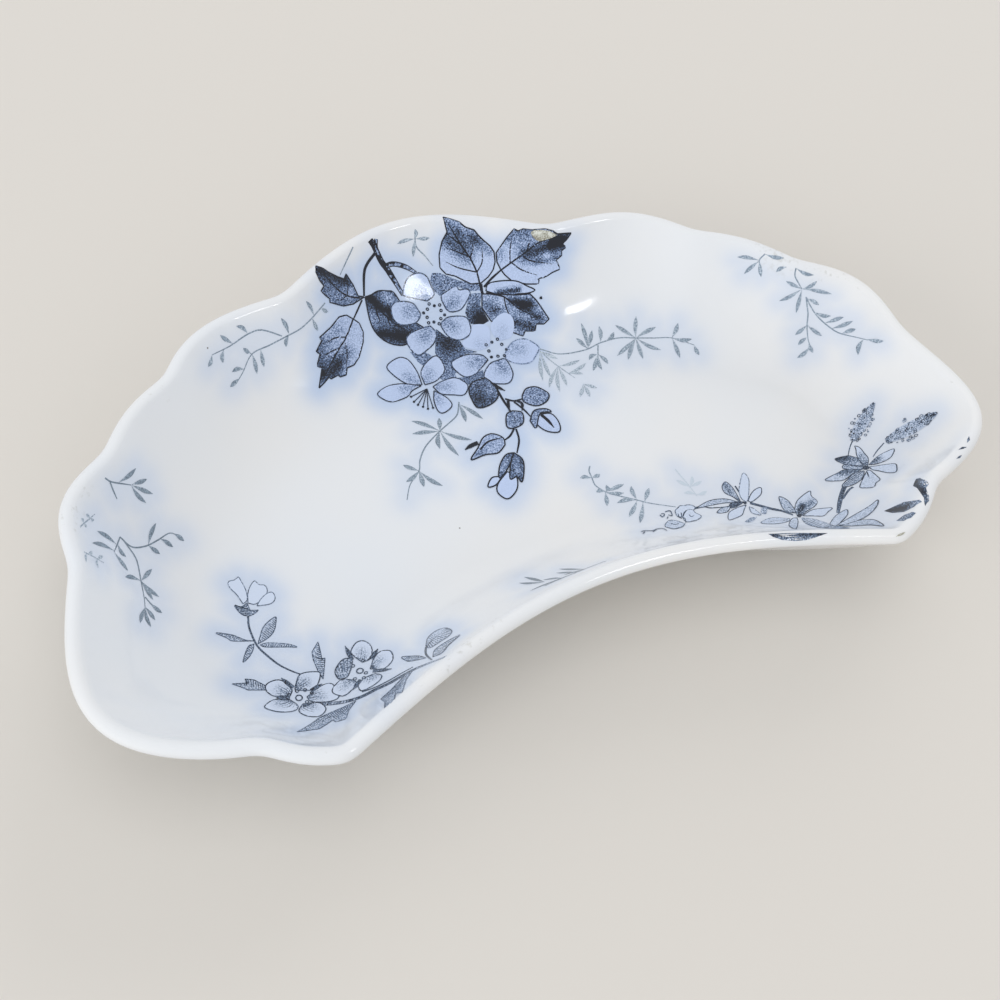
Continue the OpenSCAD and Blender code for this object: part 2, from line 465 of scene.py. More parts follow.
def glaze_gloss(tree, shader, where):
    """Gloss of a lead glaze: clear, smooth glass that settled in slow waves with a faint orange peel."""
    wave = noise(tree, where, WAVE_MM, 1.0)
    slow = bumped(tree, wave, WAVE_HEIGHT_MM)
    fine = bumped(tree, noise(tree, where, PIT_MM, 1.0), PIT_HEIGHT_MM, [("Normal", slow)])
    tree.links.new(fine, shader.inputs["Normal"])
    tree.links.new(ranged(tree, wave, 0.0, 1.0, GLAZE_SMOOTH, GLAZE_DULL), shader.inputs["Roughness"])
    shader.inputs["IOR"].default_value = GLAZE_INDEX


# Slow drift between the cool and the warm white, spacing and size of the specks, and grain and patches of
# the wear on the lip
DRIFT_MM, SPECK_SPACING_MM, SPECK_MM, WEAR_MM, PATCH_MM = 45.0, 13.0, 0.22, 0.9, 18.0
# Share of a speck that has its full colour, values of the noise between which the wear sets in, and the most
# that it covers
SPECK_CORE, WEAR_LOW, WEAR_HIGH, WEAR_MOST = 0.6, 0.38, 0.52, 0.35


def white_glaze(tint):
    """Clear lead glaze over white earthenware: a cool glossy white, bluer where the print flowed, with a few
    specks and a worn lip."""
    material, tree, shader, where = new_material("lead_glaze_on_earthenware")
    drift = noise(tree, where, DRIFT_MM, 2.0)
    white = ramp(tree, drift, [(0.35, tint.glaze_cool), (0.65, tint.glaze_warm)])
    blued = mixed(tree, carried(tree, "flow"), white, tint.flow)
    spots = add_node(tree, "ShaderNodeTexVoronoi", [
        ("Vector", where), ("Scale", 1 / (SPECK_SPACING_MM * MM))])
    edge = SPECK_MM / SPECK_SPACING_MM
    near = ranged(tree, spots.outputs["Distance"], edge, SPECK_CORE * edge)
    specked = mixed(tree, near, blued, tint.speck)
    rubbed = joined(tree, "MULTIPLY", noise(tree, where, WEAR_MM, 4.0), noise(tree, where, PATCH_MM, 1.0))
    worn = ranged(tree, rubbed, WEAR_LOW, WEAR_HIGH, 0.0, WEAR_MOST)
    on_lip = joined(tree, "MULTIPLY", worn, carried(tree, "lip"))
    tree.links.new(mixed(tree, on_lip, specked, tint.wear), shader.inputs["Base Color"])
    glaze_gloss(tree, shader, where)
    return material


# Grit of the bare clay and its height, size of the stains on it, and its roughness
GRIT_MM, GRIT_HEIGHT_MM, STAIN_MM, CLAY_ROUGHNESS = 0.6, 0.05, 9.0, 0.85


def biscuit_clay(tint):
    """Biscuit-fired earthenware: dry, matt and chalky, rubbed grey-brown where it stands."""
    material, tree, shader, where = new_material("biscuit_earthenware")
    stain = noise(tree, where, STAIN_MM, 4.0)
    rubbed = ramp(tree, stain, [(0.4, tint.clay), (0.75, tint.clay_stain)])
    tree.links.new(rubbed, shader.inputs["Base Color"])
    grit = noise(tree, where, GRIT_MM, 6.0)
    tree.links.new(bumped(tree, grit, GRIT_HEIGHT_MM), shader.inputs["Normal"])
    shader.inputs["Roughness"].default_value = CLAY_ROUGHNESS
    return material


# Colours of each ink from the palest to the full tone, with their places on its ramp
INKS = {
    "cobalt_ink_dark": ((0.0, "petal"), (0.48, "ink_mid"), (0.84, "ink_dark")),
    "cobalt_ink_grey": ((0.0, "side_pale"), (0.4, "side_mid"), (0.85, "side_dark")),
    "cobalt_ink_pale": ((0.0, "sprig_pale"), (0.5, "sprig_mid"), (1.0, "sprig_dark")),
    "worn_glaze": ((0.0, "worn_pale"), (0.5, "wear"), (1.0, "speck")),
}
# Values between which most of the noise lies, how far the stipple swings a half-tone, and the size of the
# patches in which the ink took less or more, with the least and the most of its tone there
NOISE_LOW, NOISE_HIGH, STIPPLE_SWING = 0.3, 0.7, 1.9
FADE_MM, FADE_LEAST, FADE_MOST = 7.0, 0.86, 1.06


def underglaze_ink(context, name):
    """Cobalt ink printed from an engraved plate and sunk under the glaze: half-tones break into a fine
    stipple, and the glaze's gloss lies over it."""
    tint, size = context.scene.dish_colours, context.scene.print_sizes
    material, tree, shader, where = new_material(name)
    tone = carried(tree, "tone")
    grain = noise(tree, where, size.stipple / MM, 2.0, roughness=0.6)
    swing = ranged(tree, grain, NOISE_LOW, NOISE_HIGH, -STIPPLE_SWING, STIPPLE_SWING)
    half_tone = joined(tree, "MULTIPLY", tone, joined(tree, "SUBTRACT", 1.0, tone))
    fade = ranged(tree, noise(tree, where, FADE_MM, 2.0), NOISE_LOW, NOISE_HIGH, FADE_LEAST, FADE_MOST)
    laid = joined(tree, "MULTIPLY", tone, fade)
    broken = joined(tree, "MULTIPLY", swing, half_tone)
    total = joined(tree, "ADD", laid, broken, use_clamp=True)
    stops = [(position, getattr(tint, key)) for position, key in INKS[name]]
    tree.links.new(ramp(tree, total, stops), shader.inputs["Base Color"])
    glaze_gloss(tree, shader, where)
    return material


def camera_place(stage):
    """The camera's matrix from its aim, distance, heading, elevation and roll."""
    flat = Vector((math.cos(stage.heading), math.sin(stage.heading), 0))
    look = flat * math.cos(stage.elevation) - Vector((0, 0, math.sin(stage.elevation)))
    right = look.cross(Vector((0, 0, 1))).normalized()
    upright = right.cross(look)
    turn = Matrix((right, upright, -look)).transposed().to_4x4() @ Matrix.Rotation(stage.roll, 4, "Z")
    return Matrix.Translation(Vector(stage.aim) - look * stage.distance) @ turn


class GlazedFace:
    """The dish's glazed surface, for laying the print on it."""

    def __init__(self, context):
        stage = context.scene.stage_sizes
        mesh = bpy.data.objects["dish_glaze"].data
        self.tree = BVHTree.FromPolygons([v.co for v in mesh.vertices], [p.vertices for p in mesh.polygons])
        self.view = camera_place(stage)
        self.focal = stage.lens / SENSOR * PHOTO

    def at_pixel(self, pixel):
        """Place and normal where a pixel of the photograph falls on the dish, or on its edge beside it."""
        x, y = pixel
        ray = Vector(((x - PHOTO / 2) / self.focal, (PHOTO / 2 - y) / self.focal, -1))
        eye, way = self.view.translation, self.view.to_3x3() @ ray
        place, normal = self.tree.ray_cast(eye, way)[:2]
        if place is None:
            place, normal = self.tree.find_nearest(eye + way * self.view.translation.z)[:2]
        return place, normal


# How far over the dish the drawing planes start their drop
DROP = 14 * MM


class PrintPlane:
    """A flat sheet held over one part of the dish, in millimetres along the picture's own directions. What
    is drawn on it is laid down along the sheet's normal, as a printed tissue is rubbed onto the clay."""

    def __init__(self, face, middle):
        self.face = face
        self.origin, self.normal = face.at_pixel(middle)
        right = face.view.to_3x3().col[0]
        self.across = (right - self.normal * right.dot(self.normal)).normalized()
        self.up = self.normal.cross(self.across)

    def flat(self, pixel):
        offset = self.face.at_pixel(pixel)[0] - self.origin
        return Vector((offset.dot(self.across), offset.dot(self.up))) / MM

    def lay(self, point, lift):
        """Place on the dish under a flat point, raised by the lift but never over the crest of the lip."""
        high = self.origin + (self.across * point.x + self.up * point.y) * MM + self.normal * DROP
        place, normal = self.face.tree.ray_cast(high, -self.normal)[:2]
        if place is None:
            place, normal = self.face.tree.find_nearest(high - self.normal * DROP)[:2]
        place = place + normal * lift
        place.z = min(place.z, CAD_BOX[1][2])
        return place


def smooth(low, high, value):
    t = max(0.0, min(1.0, (value - low) / (high - low)))
    return t * t * (3 - 2 * t)


def left_of(way):
    return Vector((-way.y, way.x)).normalized()


def through(points, count=6):
    """Smooth curve through points, with count steps between each two."""
    ends = [points[0] * 2 - points[1]] + list(points) + [points[-1] * 2 - points[-2]]
    line = []
    for a, b, c, d in zip(ends, ends[1:], ends[2:], ends[3:]):
        for k in range(count):
            t = k / count
            line.append(0.5 * (2 * b + (c - a) * t + (2 * a - 5 * b + 4 * c - d) * t ** 2
                               + (3 * b - a - 3 * c + d) * t ** 3))
    return line + [points[-1]]


class Path:
    """A line of flat points, read by the share of the way along it."""

    def __init__(self, points):
        self.points = points
        self.travel = travelled(points)
        self.length = self.travel[-1]
        self.shares = [t / self.length for t in self.travel]

    def at(self, part):
        return point_at(self.points, self.shares, part)

    def side(self, part, step):
        """Way to the left of the path, taken over a short step to each side."""
        return left_of(self.at(min(1, part + step)) - self.at(max(0, part - step)))


# A path with fewer points than this keeps each as a corner, and rows of a film closer than this share are
# one
CORNERS, CLOSE_WAYS = 26, 0.008


def ways_along(paths, cell):
    """Shares of the way at which a film along some paths has its rows: their corners, and even steps of
    about a cell."""
    count = max(2, math.ceil(max(path.length for path in paths) / cell))
    ways = [k / count for k in range(count + 1)]
    for corner in sorted(s for path in paths for s in path.shares if len(path.points) < CORNERS):
        if min(abs(corner - s) for s in ways) > CLOSE_WAYS:
            ways.append(corner)
    return sorted(ways)


# Start of the random draws of each film
SEED = 7
# Vertices of a film closer than this in metres are one, and edges that turn by more radians than this are
# sharp
WELD, SHARP = 1e-7, 1.0
# Steps by which strokes and dots lie over the wash of their motif
STROKE_OVER, DOT_OVER = 0.5, 0.7
# Share of the way by which a stroke has its full width, and the share at which it starts to taper
FULL_FROM, FULL_TO = 0.35, 0.55


class Film:
    """Printed ink on one drawing plane: washes, pen strokes and dots, each vertex with its tone from 0 to 1.
    Each motif lies a little over the one before it."""

    def __init__(self, context, face, middle):
        self.size = context.scene.print_sizes
        self.plane = PrintPlane(face, middle)
        self.bm = bmesh.new()
        self.tone = self.bm.verts.layers.float.new("tone")
        self.random = random.Random(SEED)
        self.level = 0

    def flat(self, pixels):
        return [self.plane.flat(pixel) for pixel in pixels]

    def lift(self, over=0.0):
        return self.size.lift + self.size.step * (self.level + over)

    def lay(self, verts, place, tone, over=0.0):
        """Lays new vertices, which are drawn from -1 to 1, where place(x, y) says, with the tone at that
        flat point."""
        lift = self.lift(over)
        for vert in verts:
            spot = place(vert.co.x, vert.co.y)
            vert[self.tone] = max(0.0, min(1.0, tone(spot)))
            vert.co = self.plane.lay(spot, lift)
        bmesh.ops.remove_doubles(self.bm, verts=verts, dist=WELD)

    def wash(self, left, right, tone):
        """Ink between two paths that run from a base to a tip."""
        cell = self.size.cell / MM
        ways = ways_along((left, right), cell)
        wide = max((left.at(s) - right.at(s)).length for s in ways)
        grid = bmesh.ops.create_grid(
            self.bm, x_segments=len(ways) - 1, y_segments=max(2, math.ceil(wide / cell)), size=1)

        def place(x, y):
            s = ways[round((x + 1) / 2 * (len(ways) - 1))]
            return right.at(s).lerp(left.at(s), (y + 1) / 2)

        self.lay(grid["verts"], place, tone)

    def stroke(self, points, width, tone, start=1.0, end=1.0):
        """Pen stroke along flat points, with the widths at its two ends as shares."""
        path = Path(points)
        ways = ways_along((path,), self.size.cell / MM)
        grid = bmesh.ops.create_grid(self.bm, x_segments=len(ways) - 1, y_segments=1, size=1)

        def place(x, y):
            s = ways[round((x + 1) / 2 * (len(ways) - 1))]
            swell = start + (1 - start) * smooth(0, FULL_FROM, s)
            swell *= end + (1 - end) * smooth(1, FULL_TO, s)
            return path.at(s) + path.side(s, width / 4 / path.length) * (y * width * swell / 2)

        self.lay(grid["verts"], place, lambda spot: tone, over=STROKE_OVER)

    def dot(self, middle, radius, tone):
        disc = bmesh.ops.create_circle(self.bm, cap_ends=True, segments=8, radius=1)
        self.lay(disc["verts"], lambda x, y: middle + Vector((x, y)) * radius, lambda spot: tone,
                 over=DOT_OVER)

    def finish(self, context, name, material):
        """Turns the film into a closed piece with square edges."""
        under = bmesh.ops.extrude_face_region(self.bm, geom=self.bm.faces, use_keep_orig=True)["geom"]
        low = [g for g in under if isinstance(g, bmesh.types.BMVert)]
        bmesh.ops.translate(self.bm, verts=low, vec=-self.plane.normal * self.size.film)
        bmesh.ops.recalc_face_normals(self.bm, faces=self.bm.faces)
        for edge in self.bm.edges:
            edge.smooth = edge.calc_face_angle(0.0) < SHARP
        return new_piece(context, self.bm, name, material)


def two_sides(outline):
    """Left and right side, each from base to tip, of an outline that runs from base round to base."""
    base = outline[0]
    tip = max(range(len(outline)), key=lambda k: (outline[k] - base).length)
    one, other = outline[:tip + 1], outline[:tip - 1:-1]
    turn = sum(a.cross(b) for a, b in zip(outline, outline[1:]))
    return (Path(other), Path(one)) if turn > 0 else (Path(one), Path(other))


def shading(film, pale, spots):
    """Tone over a blade: a pale ground under soft strokes, each between two pixels with a radius and a
    tone."""
    strokes = [(*film.flat((start, end)), radius, tone) for start, end, radius, tone in spots]

    def tone_at(spot):
        total = pale
        for start, end, radius, tone in strokes:
            near = intersect_point_line(spot, start, end)[1] if start != end else 0
            total += tone * math.exp(-((spot - start.lerp(end, max(0, min(1, near)))).length / radius) ** 2)
        return total

    return tone_at


# Tones of the hairs in a blade and of the lines across it, how far the hairs reach up it, and how much wider
# its middle rib is than the rest
HAIR_TONE, CROSS_TONE, HAIR_REACH, MIDDLE_RIB = 0.55, 0.75, 0.62, 1.3


def blade(film, outline, curved=False, pale=0.1, spots=(), line=0.95, weight=1.0, ribs=(), hairs=0, cross=0):
    """Leaf, petal or bud from pixels that run from its base round to its base: a shaded wash, its outline,
    its ribs, a number of fine hairs of shade out of its base, and fine lines across it at a spacing in
    millimetres."""
    film.level += 1
    points = film.flat((*outline, outline[0]))
    left, right = two_sides(through(points) if curved else points)
    film.wash(left, right, shading(film, pale, spots))
    ink, fine = film.size.outline / MM * weight, film.size.hatch / MM
    if line:
        film.stroke(left.points, ink, line)
        film.stroke(right.points, ink, line)
    for k, rib in enumerate(ribs):
        film.stroke(through(film.flat(rib)), ink * (1.0 if k else MIDDLE_RIB), line, start=1.0, end=0.4)
    for k in range(hairs):
        t = (k + 0.5) / hairs
        far = HAIR_REACH * (0.6 + 0.4 * film.random.random()) * (1 - abs(t - 0.5))
        film.stroke([right.at(s).lerp(left.at(s), t) for s in (0.08 + far * j / 3 for j in range(4))],
                    fine, HAIR_TONE, start=1.0, end=0.3)
    rows = round(left.length / cross) if cross else 0
    for k in range(rows):
        s, t = (k + 0.7) / (rows + 1), film.random.uniform(0.55, 0.95)
        across = right.at(s).lerp(left.at(min(1, s + 0.05)), t)
        film.stroke([right.at(s), across], fine, CROSS_TONE, start=1.0, end=0.4)


# A stem wider than this in millimetres can have a paler core, with this share of its width
THICK_STEM, CORE_SHARE = 0.6, 0.6


def stem(film, pixels, width, tone, end=0.7, core=None):
    """Twig or stalk through pixels, with a paler core in a thick one where a tone is given for it."""
    film.level += 1
    points = through(film.flat(pixels))
    film.stroke(points, width, tone, end=end)
    if core is not None and width > THICK_STEM:
        film.level += 1
        film.stroke(points, width * CORE_SHARE, core, end=end)


RINGLET_SIDES = 12


def ringlet(film, middle, radius, width, tone):
    turns = [math.tau * k / RINGLET_SIDES for k in range(RINGLET_SIDES + 1)]
    film.stroke([middle + Vector((math.cos(a), math.sin(a))) * radius for a in turns], width, tone)


def stamens(film, centre, radius, count, tone):
    """Ring of stamens round a flower's heart, near and far by turns."""
    film.level += 1
    heart = film.plane.flat(centre)
    for k in range(count):
        way = Vector((math.cos(math.tau * k / count), math.sin(math.tau * k / count)))
        place = heart + way * radius * (0.84 if k % 2 else 1.12)
        if k % 3:
            ringlet(film, place, 0.22, 0.2, tone)
        else:
            film.dot(place, 0.3, tone)


def sprig_leaf(film, base, tip, width, tone):
    """Small lance-shaped leaf in one wash: bent, fuller on one side and past its middle, and palest along
    one edge."""
    axis = tip - base
    side = left_of(axis) * width / 2
    bend, full = film.random.uniform(-0.55, 0.55), film.random.uniform(0.45, 1.1)
    rows = [k / 8 for k in range(9)]
    middle = [base + axis * s + side * bend * math.sin(math.pi * s) for s in rows]
    swell = [math.sin(math.pi * s ** 1.35) for s in rows]
    left = Path([m + side * w * full for m, w in zip(middle, swell)])
    right = Path([m - side * w * (1.55 - full) for m, w in zip(middle, swell)])
    film.level += 1
    film.wash(left, right, lambda spot: tone * (0.75 + 0.3 * (spot - base).length / axis.length
                                                - 0.5 * (spot - base).dot(side) / width ** 2))


# Leaves whose base is picked this near a stem, in millimetres, grow out of the stem itself
SNAP = 1.2


def sprig(film, stems, whorls, width, tone):
    """Fern-like sprig: thin stems, and leaves from places on them out to their tips."""
    grown = []
    for pixels in stems:
        stem(film, pixels, 0.24, tone * 1.1, end=0.6)
        grown += through(film.flat(pixels))
    for base, tips in whorls:
        picked = film.plane.flat(base)
        near = min(grown, key=lambda point: (point - picked).length)
        root = near if (near - picked).length < SNAP else picked
        for tip in tips:
            sprig_leaf(film, root, film.plane.flat(tip), width, tone)


# Places of the print, picked on the photograph in pixels. Outlines run from a base round to the same
# base. Spots run from a pixel to a pixel with a radius in millimetres and a tone, ribs begin with the middle
# one, and widths are in millimetres
BACK_SPRAY_MIDDLE = (450, 325)
BACK_SHADOWS = (
    dict(pale=0.5, outline=(
        (432, 273), (440, 273), (460, 281), (481, 283), (482, 291), (469, 291), (456, 286), (446, 290),
        (440, 296), (434, 291), (430, 280))),
    dict(pale=0.45, spots=(((481, 320), (481, 320), 2.6, 0.5),), outline=(
        (475, 293), (482, 293), (480, 305), (489, 321), (482, 325), (471, 324), (465, 313), (470, 294))),
    dict(pale=0.56, spots=(((448, 342), (448, 342), 2.4, 0.35),), outline=(
        (436, 329), (447, 337), (460, 341), (465, 349), (478, 352), (465, 354), (454, 360), (457, 372),
        (451, 377), (435, 353))),
    dict(pale=0.58, outline=((456, 378), (467, 377), (483, 370), (484, 377), (468, 385))),
    dict(pale=0.48, outline=(
        (410, 352), (425, 352), (440, 360), (455, 374), (460, 385), (445, 382), (432, 372), (418, 362))),
)
BACK_LEAVES = (
    dict(
        pale=0.06,
        outline=(
            (481, 283), (471, 284), (455, 276), (446, 274), (440, 268), (439, 255), (442, 241), (447, 232),
            (445, 224), (443, 217), (450, 219), (459, 222), (465, 227), (474, 230), (478, 235), (483, 240),
            (490, 246), (494, 252), (495, 262), (493, 270), (488, 277)),
        ribs=(
            ((481, 290), (477, 273), (470, 258), (461, 245), (443, 217)),
            ((476, 272), (459, 268), (446, 262)), ((477, 272), (482, 262), (482, 248)),
            ((470, 258), (473, 249), (471, 240)), ((470, 257), (458, 252), (446, 248)),
            ((461, 245), (452, 238), (447, 234))),
        spots=(
            ((449, 226), (476, 239), 1.5, 0.45), ((446, 240), (466, 255), 1.4, 0.62),
            ((472, 238), (490, 250), 1.0, 0.28), ((457, 232), (465, 246), 0.6, 0.25))),
    dict(
        pale=0.06,
        outline=(
            (501, 270), (497, 262), (496, 253), (507, 237), (514, 229), (518, 231), (523, 229), (532, 230),
            (545, 229), (553, 231), (557, 234), (571, 233), (567, 239), (562, 244), (566, 247), (561, 251),
            (562, 255), (556, 260), (560, 269), (553, 272), (545, 277), (536, 279), (539, 280), (538, 284),
            (526, 284), (512, 281), (505, 275)),
        ribs=(
            ((501, 270), (512, 262), (526, 252), (538, 243), (553, 238)),
            ((510, 263), (510, 250), (512, 238)), ((527, 251), (530, 240)),
            ((512, 263), (522, 270), (537, 275)), ((522, 256), (532, 261), (552, 264))),
        spots=(
            ((525, 254), (562, 245), 1.5, 0.75), ((553, 238), (570, 234), 1.3, 0.6),
            ((510, 236), (530, 231), 1.5, 0.5), ((500, 255), (500, 255), 1.0, 0.3),
            ((536, 262), (560, 258), 0.5, 0.4), ((545, 256), (548, 256), 0.7, -0.35))),
    dict(
        curved=True, pale=0.04,
        outline=(
            (486, 291), (488, 284), (500, 281), (516, 281), (527, 286), (535, 290), (528, 293), (516, 294),
            (506, 296), (496, 294)),
        spots=(((498, 293), (518, 290), 0.6, 0.85),)),
    dict(
        pale=0.3,
        outline=(
            (482, 294), (496, 294), (515, 295), (530, 294), (536, 300), (541, 307), (549, 319), (544, 324),
            (536, 324), (535, 331), (525, 331), (523, 336), (514, 333), (491, 321), (482, 308)),
        ribs=(
            ((486, 293), (504, 297), (518, 308), (536, 317)), ((504, 298), (507, 310), (516, 328)),
            ((519, 308), (530, 306), (538, 306))),
        spots=(
            ((512, 302), (530, 304), 0.9, 0.65), ((520, 309), (540, 318), 0.8, 0.5),
            ((489, 306), (496, 312), 1.0, 0.4), ((516, 323), (534, 328), 1.1, 0.5),
            ((500, 300), (530, 316), 0.4, -0.25))),
    dict(
        pale=0.55,
        outline=(
            (364, 297), (358, 296), (353, 285), (346, 274), (344, 279), (338, 277), (328, 272), (316, 266),
            (316, 273), (320, 281), (324, 286), (321, 291), (326, 296), (330, 299), (329, 302), (343, 306),
            (353, 304)),
        ribs=(
            ((360, 298), (348, 296), (337, 289), (322, 272)), ((347, 295), (348, 284)),
            ((346, 296), (338, 302))),
        spots=(((318, 270), (345, 280), 1.5, 0.35), ((350, 292), (350, 292), 1.2, -0.3))),
    dict(
        pale=0.12,
        outline=(
            (353, 319), (346, 315), (339, 317), (331, 327), (319, 338), (322, 340), (316, 352), (320, 354),
            (317, 366), (322, 368), (319, 388), (324, 383), (329, 377), (331, 379), (338, 375), (340, 377),
            (346, 375), (347, 368), (354, 365), (359, 357), (363, 342), (363, 332), (359, 323)),
        ribs=(
            ((353, 319), (346, 337), (336, 354), (321, 383)), ((345, 343), (347, 354), (346, 366)),
            ((346, 337), (335, 338), (324, 344)), ((340, 348), (330, 352), (320, 358))),
        spots=(
            ((319, 342), (320, 372), 1.3, 0.5), ((325, 378), (333, 362), 1.6, 0.5),
            ((328, 342), (338, 330), 1.2, 0.25), ((336, 374), (346, 352), 1.2, 0.5))),
    dict(
        curved=True, pale=0.62,
        outline=(
            (365, 297), (371, 295), (378, 291), (387, 291), (394, 293), (405, 310), (415, 322), (425, 331),
            (407, 344), (396, 345), (385, 341), (376, 333), (370, 321)),
        ribs=(
            ((366, 298), (374, 305), (387, 317), (398, 327)), ((375, 308), (381, 324)),
            ((387, 317), (391, 328))),
        spots=(
            ((370, 298), (388, 316), 1.3, 0.35), ((380, 333), (412, 338), 1.5, 0.35),
            ((392, 308), (400, 322), 1.0, 0.3), ((386, 297), (392, 302), 1.0, -0.35),
            ((371, 316), (376, 326), 0.8, -0.25), ((383, 316), (388, 324), 0.8, -0.25))),
)
BACK_TWIGS = (
    (1.1, ((370, 240), (374, 246), (381, 261), (387, 269), (394, 280), (403, 295))),
    (0.7, ((376, 239), (376, 247), (379, 256))),
    (0.9, ((386, 266), (392, 264), (400, 265), (408, 268), (416, 273))),
    (0.5, ((375, 253), (367, 264), (364, 274), (364, 296))), (0.3, ((362, 300), (358, 309), (353, 320))),
    (0.4, ((484, 287), (491, 279), (501, 270))), (0.5, ((481, 284), (482, 292), (485, 300))),
    (0.45, ((496, 388), (503, 400), (511, 412))), (0.35, ((505, 399), (514, 401), (522, 399))),
    (0.35, ((514, 402), (523, 409), (531, 417))), (0.35, ((514, 429), (510, 436), (505, 440))),
    (0.35, ((516, 429), (519, 440), (517, 453))),
)
# Each petal with the tone of its outline
BACK_BLOSSOMS = (
    dict(centre=(434, 314), ring=1.75, stamens=12, petals=(
        (0.75, (
            (446, 309), (441, 297), (447, 291), (456, 286), (459, 290), (467, 289), (470, 294), (465, 304),
            (460, 310), (451, 312))),
        (0.75, (
            (442, 322), (449, 317), (465, 317), (470, 325), (470, 334), (460, 340), (449, 337),
            (441, 326))),
        (0.75, (
            (430, 326), (417, 330), (407, 337), (408, 345), (414, 353), (420, 355), (427, 350), (434, 343),
            (436, 333))),
        (0.75, (
            (420, 313), (412, 303), (397, 302), (391, 308), (394, 320), (402, 325), (415, 323),
            (420, 317))),
        (0.75, (
            (427, 301), (405, 296), (403, 292), (407, 279), (417, 273), (426, 276), (431, 286),
            (434, 295))))),
    dict(centre=(496, 349), ring=1.7, stamens=9, petals=(
        (0.0, (
            (500, 341), (492, 333), (491, 324), (499, 315), (506, 313), (512, 317), (514, 326),
            (511, 337))),
        (0.45, (
            (507, 349), (513, 342), (523, 339), (532, 342), (539, 348), (536, 355), (531, 362), (521, 364),
            (509, 361), (505, 356))),
        (0.8, (
            (499, 360), (490, 364), (484, 375), (488, 382), (499, 384), (509, 383), (513, 375), (510, 366),
            (505, 359))),
        (0.8, (
            (488, 360), (481, 355), (466, 355), (453, 361), (452, 366), (457, 372), (465, 377), (474, 375),
            (482, 367))),
        (0.0, (
            (490, 346), (481, 350), (466, 348), (462, 342), (468, 338), (471, 332), (473, 325), (486, 325),
            (490, 332))))),
)
NODDING_PETALS = (
    ((422, 385), (407, 384), (392, 374), (387, 366), (398, 358), (408, 360), (417, 372)),
    ((425, 385), (421, 373), (426, 363), (436, 356), (443, 364), (444, 372), (436, 381)),
    ((433, 387), (441, 382), (454, 378), (464, 382), (468, 387), (464, 395), (453, 395), (441, 394)),
    ((434, 391), (434, 401), (438, 411), (444, 413), (452, 406), (448, 399), (440, 394)),
    ((421, 386), (404, 384), (389, 386), (378, 393), (381, 398), (392, 402), (407, 397), (412, 391)),
)
NODDING_HEART = (427, 389)
NODDING_STAMENS = ((411, 397), (414, 402), (418, 405), (423, 407), (428, 409), (433, 408))
BACK_BUDS = (
    dict(
        pale=0.62, spots=(((478, 398), (478, 398), 1.6, 0.25), ((491, 391), (491, 391), 1.0, -0.2)),
        outline=(
            (485, 378), (472, 383), (469, 391), (472, 400), (478, 408), (490, 405), (498, 397), (496, 388),
            (491, 382))),
    dict(pale=0.45, outline=(
        (513, 411), (507, 414), (506, 422), (508, 428), (515, 428), (523, 423), (522, 413))),
    dict(pale=0.45, outline=(
        (522, 396), (526, 389), (535, 387), (543, 390), (549, 395), (546, 402), (536, 406), (524, 402))),
    dict(pale=0.05, outline=((538, 415), (551, 414), (559, 423), (559, 432), (546, 431), (536, 423))),
    dict(pale=0.48, outline=((530, 421), (534, 411), (545, 409), (551, 412), (540, 414), (536, 428))),
    dict(
        pale=0.25, spots=(((480, 455), (480, 455), 1.0, 0.3),),
        outline=(
            (505, 445), (503, 438), (492, 434), (483, 438), (478, 448), (471, 460), (485, 455),
            (498, 453)),
        ribs=(((480, 450), (488, 442), (502, 438)),)),
    dict(pale=0.02, outline=((507, 472), (498, 484), (498, 493), (508, 499), (517, 489), (516, 476))),
    dict(pale=0.02, outline=((502, 477), (492, 478), (488, 487), (496, 485))),
    dict(pale=0.62, spots=(((505, 460), (502, 470), 0.5, -0.3),), outline=(
        (514, 453), (506, 455), (500, 465), (499, 478), (505, 473), (511, 462))),
    dict(pale=0.66, spots=(((516, 462), (518, 472), 0.4, -0.3),), outline=(
        (514, 453), (522, 459), (524, 468), (522, 482), (517, 477), (510, 479), (511, 462))),
)
BACK_SEPALS = (
    (0.55, ((493, 384), (499, 388), (505, 391))), (0.5, ((508, 401), (509, 411))),
    (0.5, ((517, 401), (522, 404), (522, 411))), (0.6, ((541, 415), (548, 421), (554, 428))),
    (0.5, ((540, 297), (542, 299))), (0.7, ((478, 443), (471, 446), (465, 450))),
)

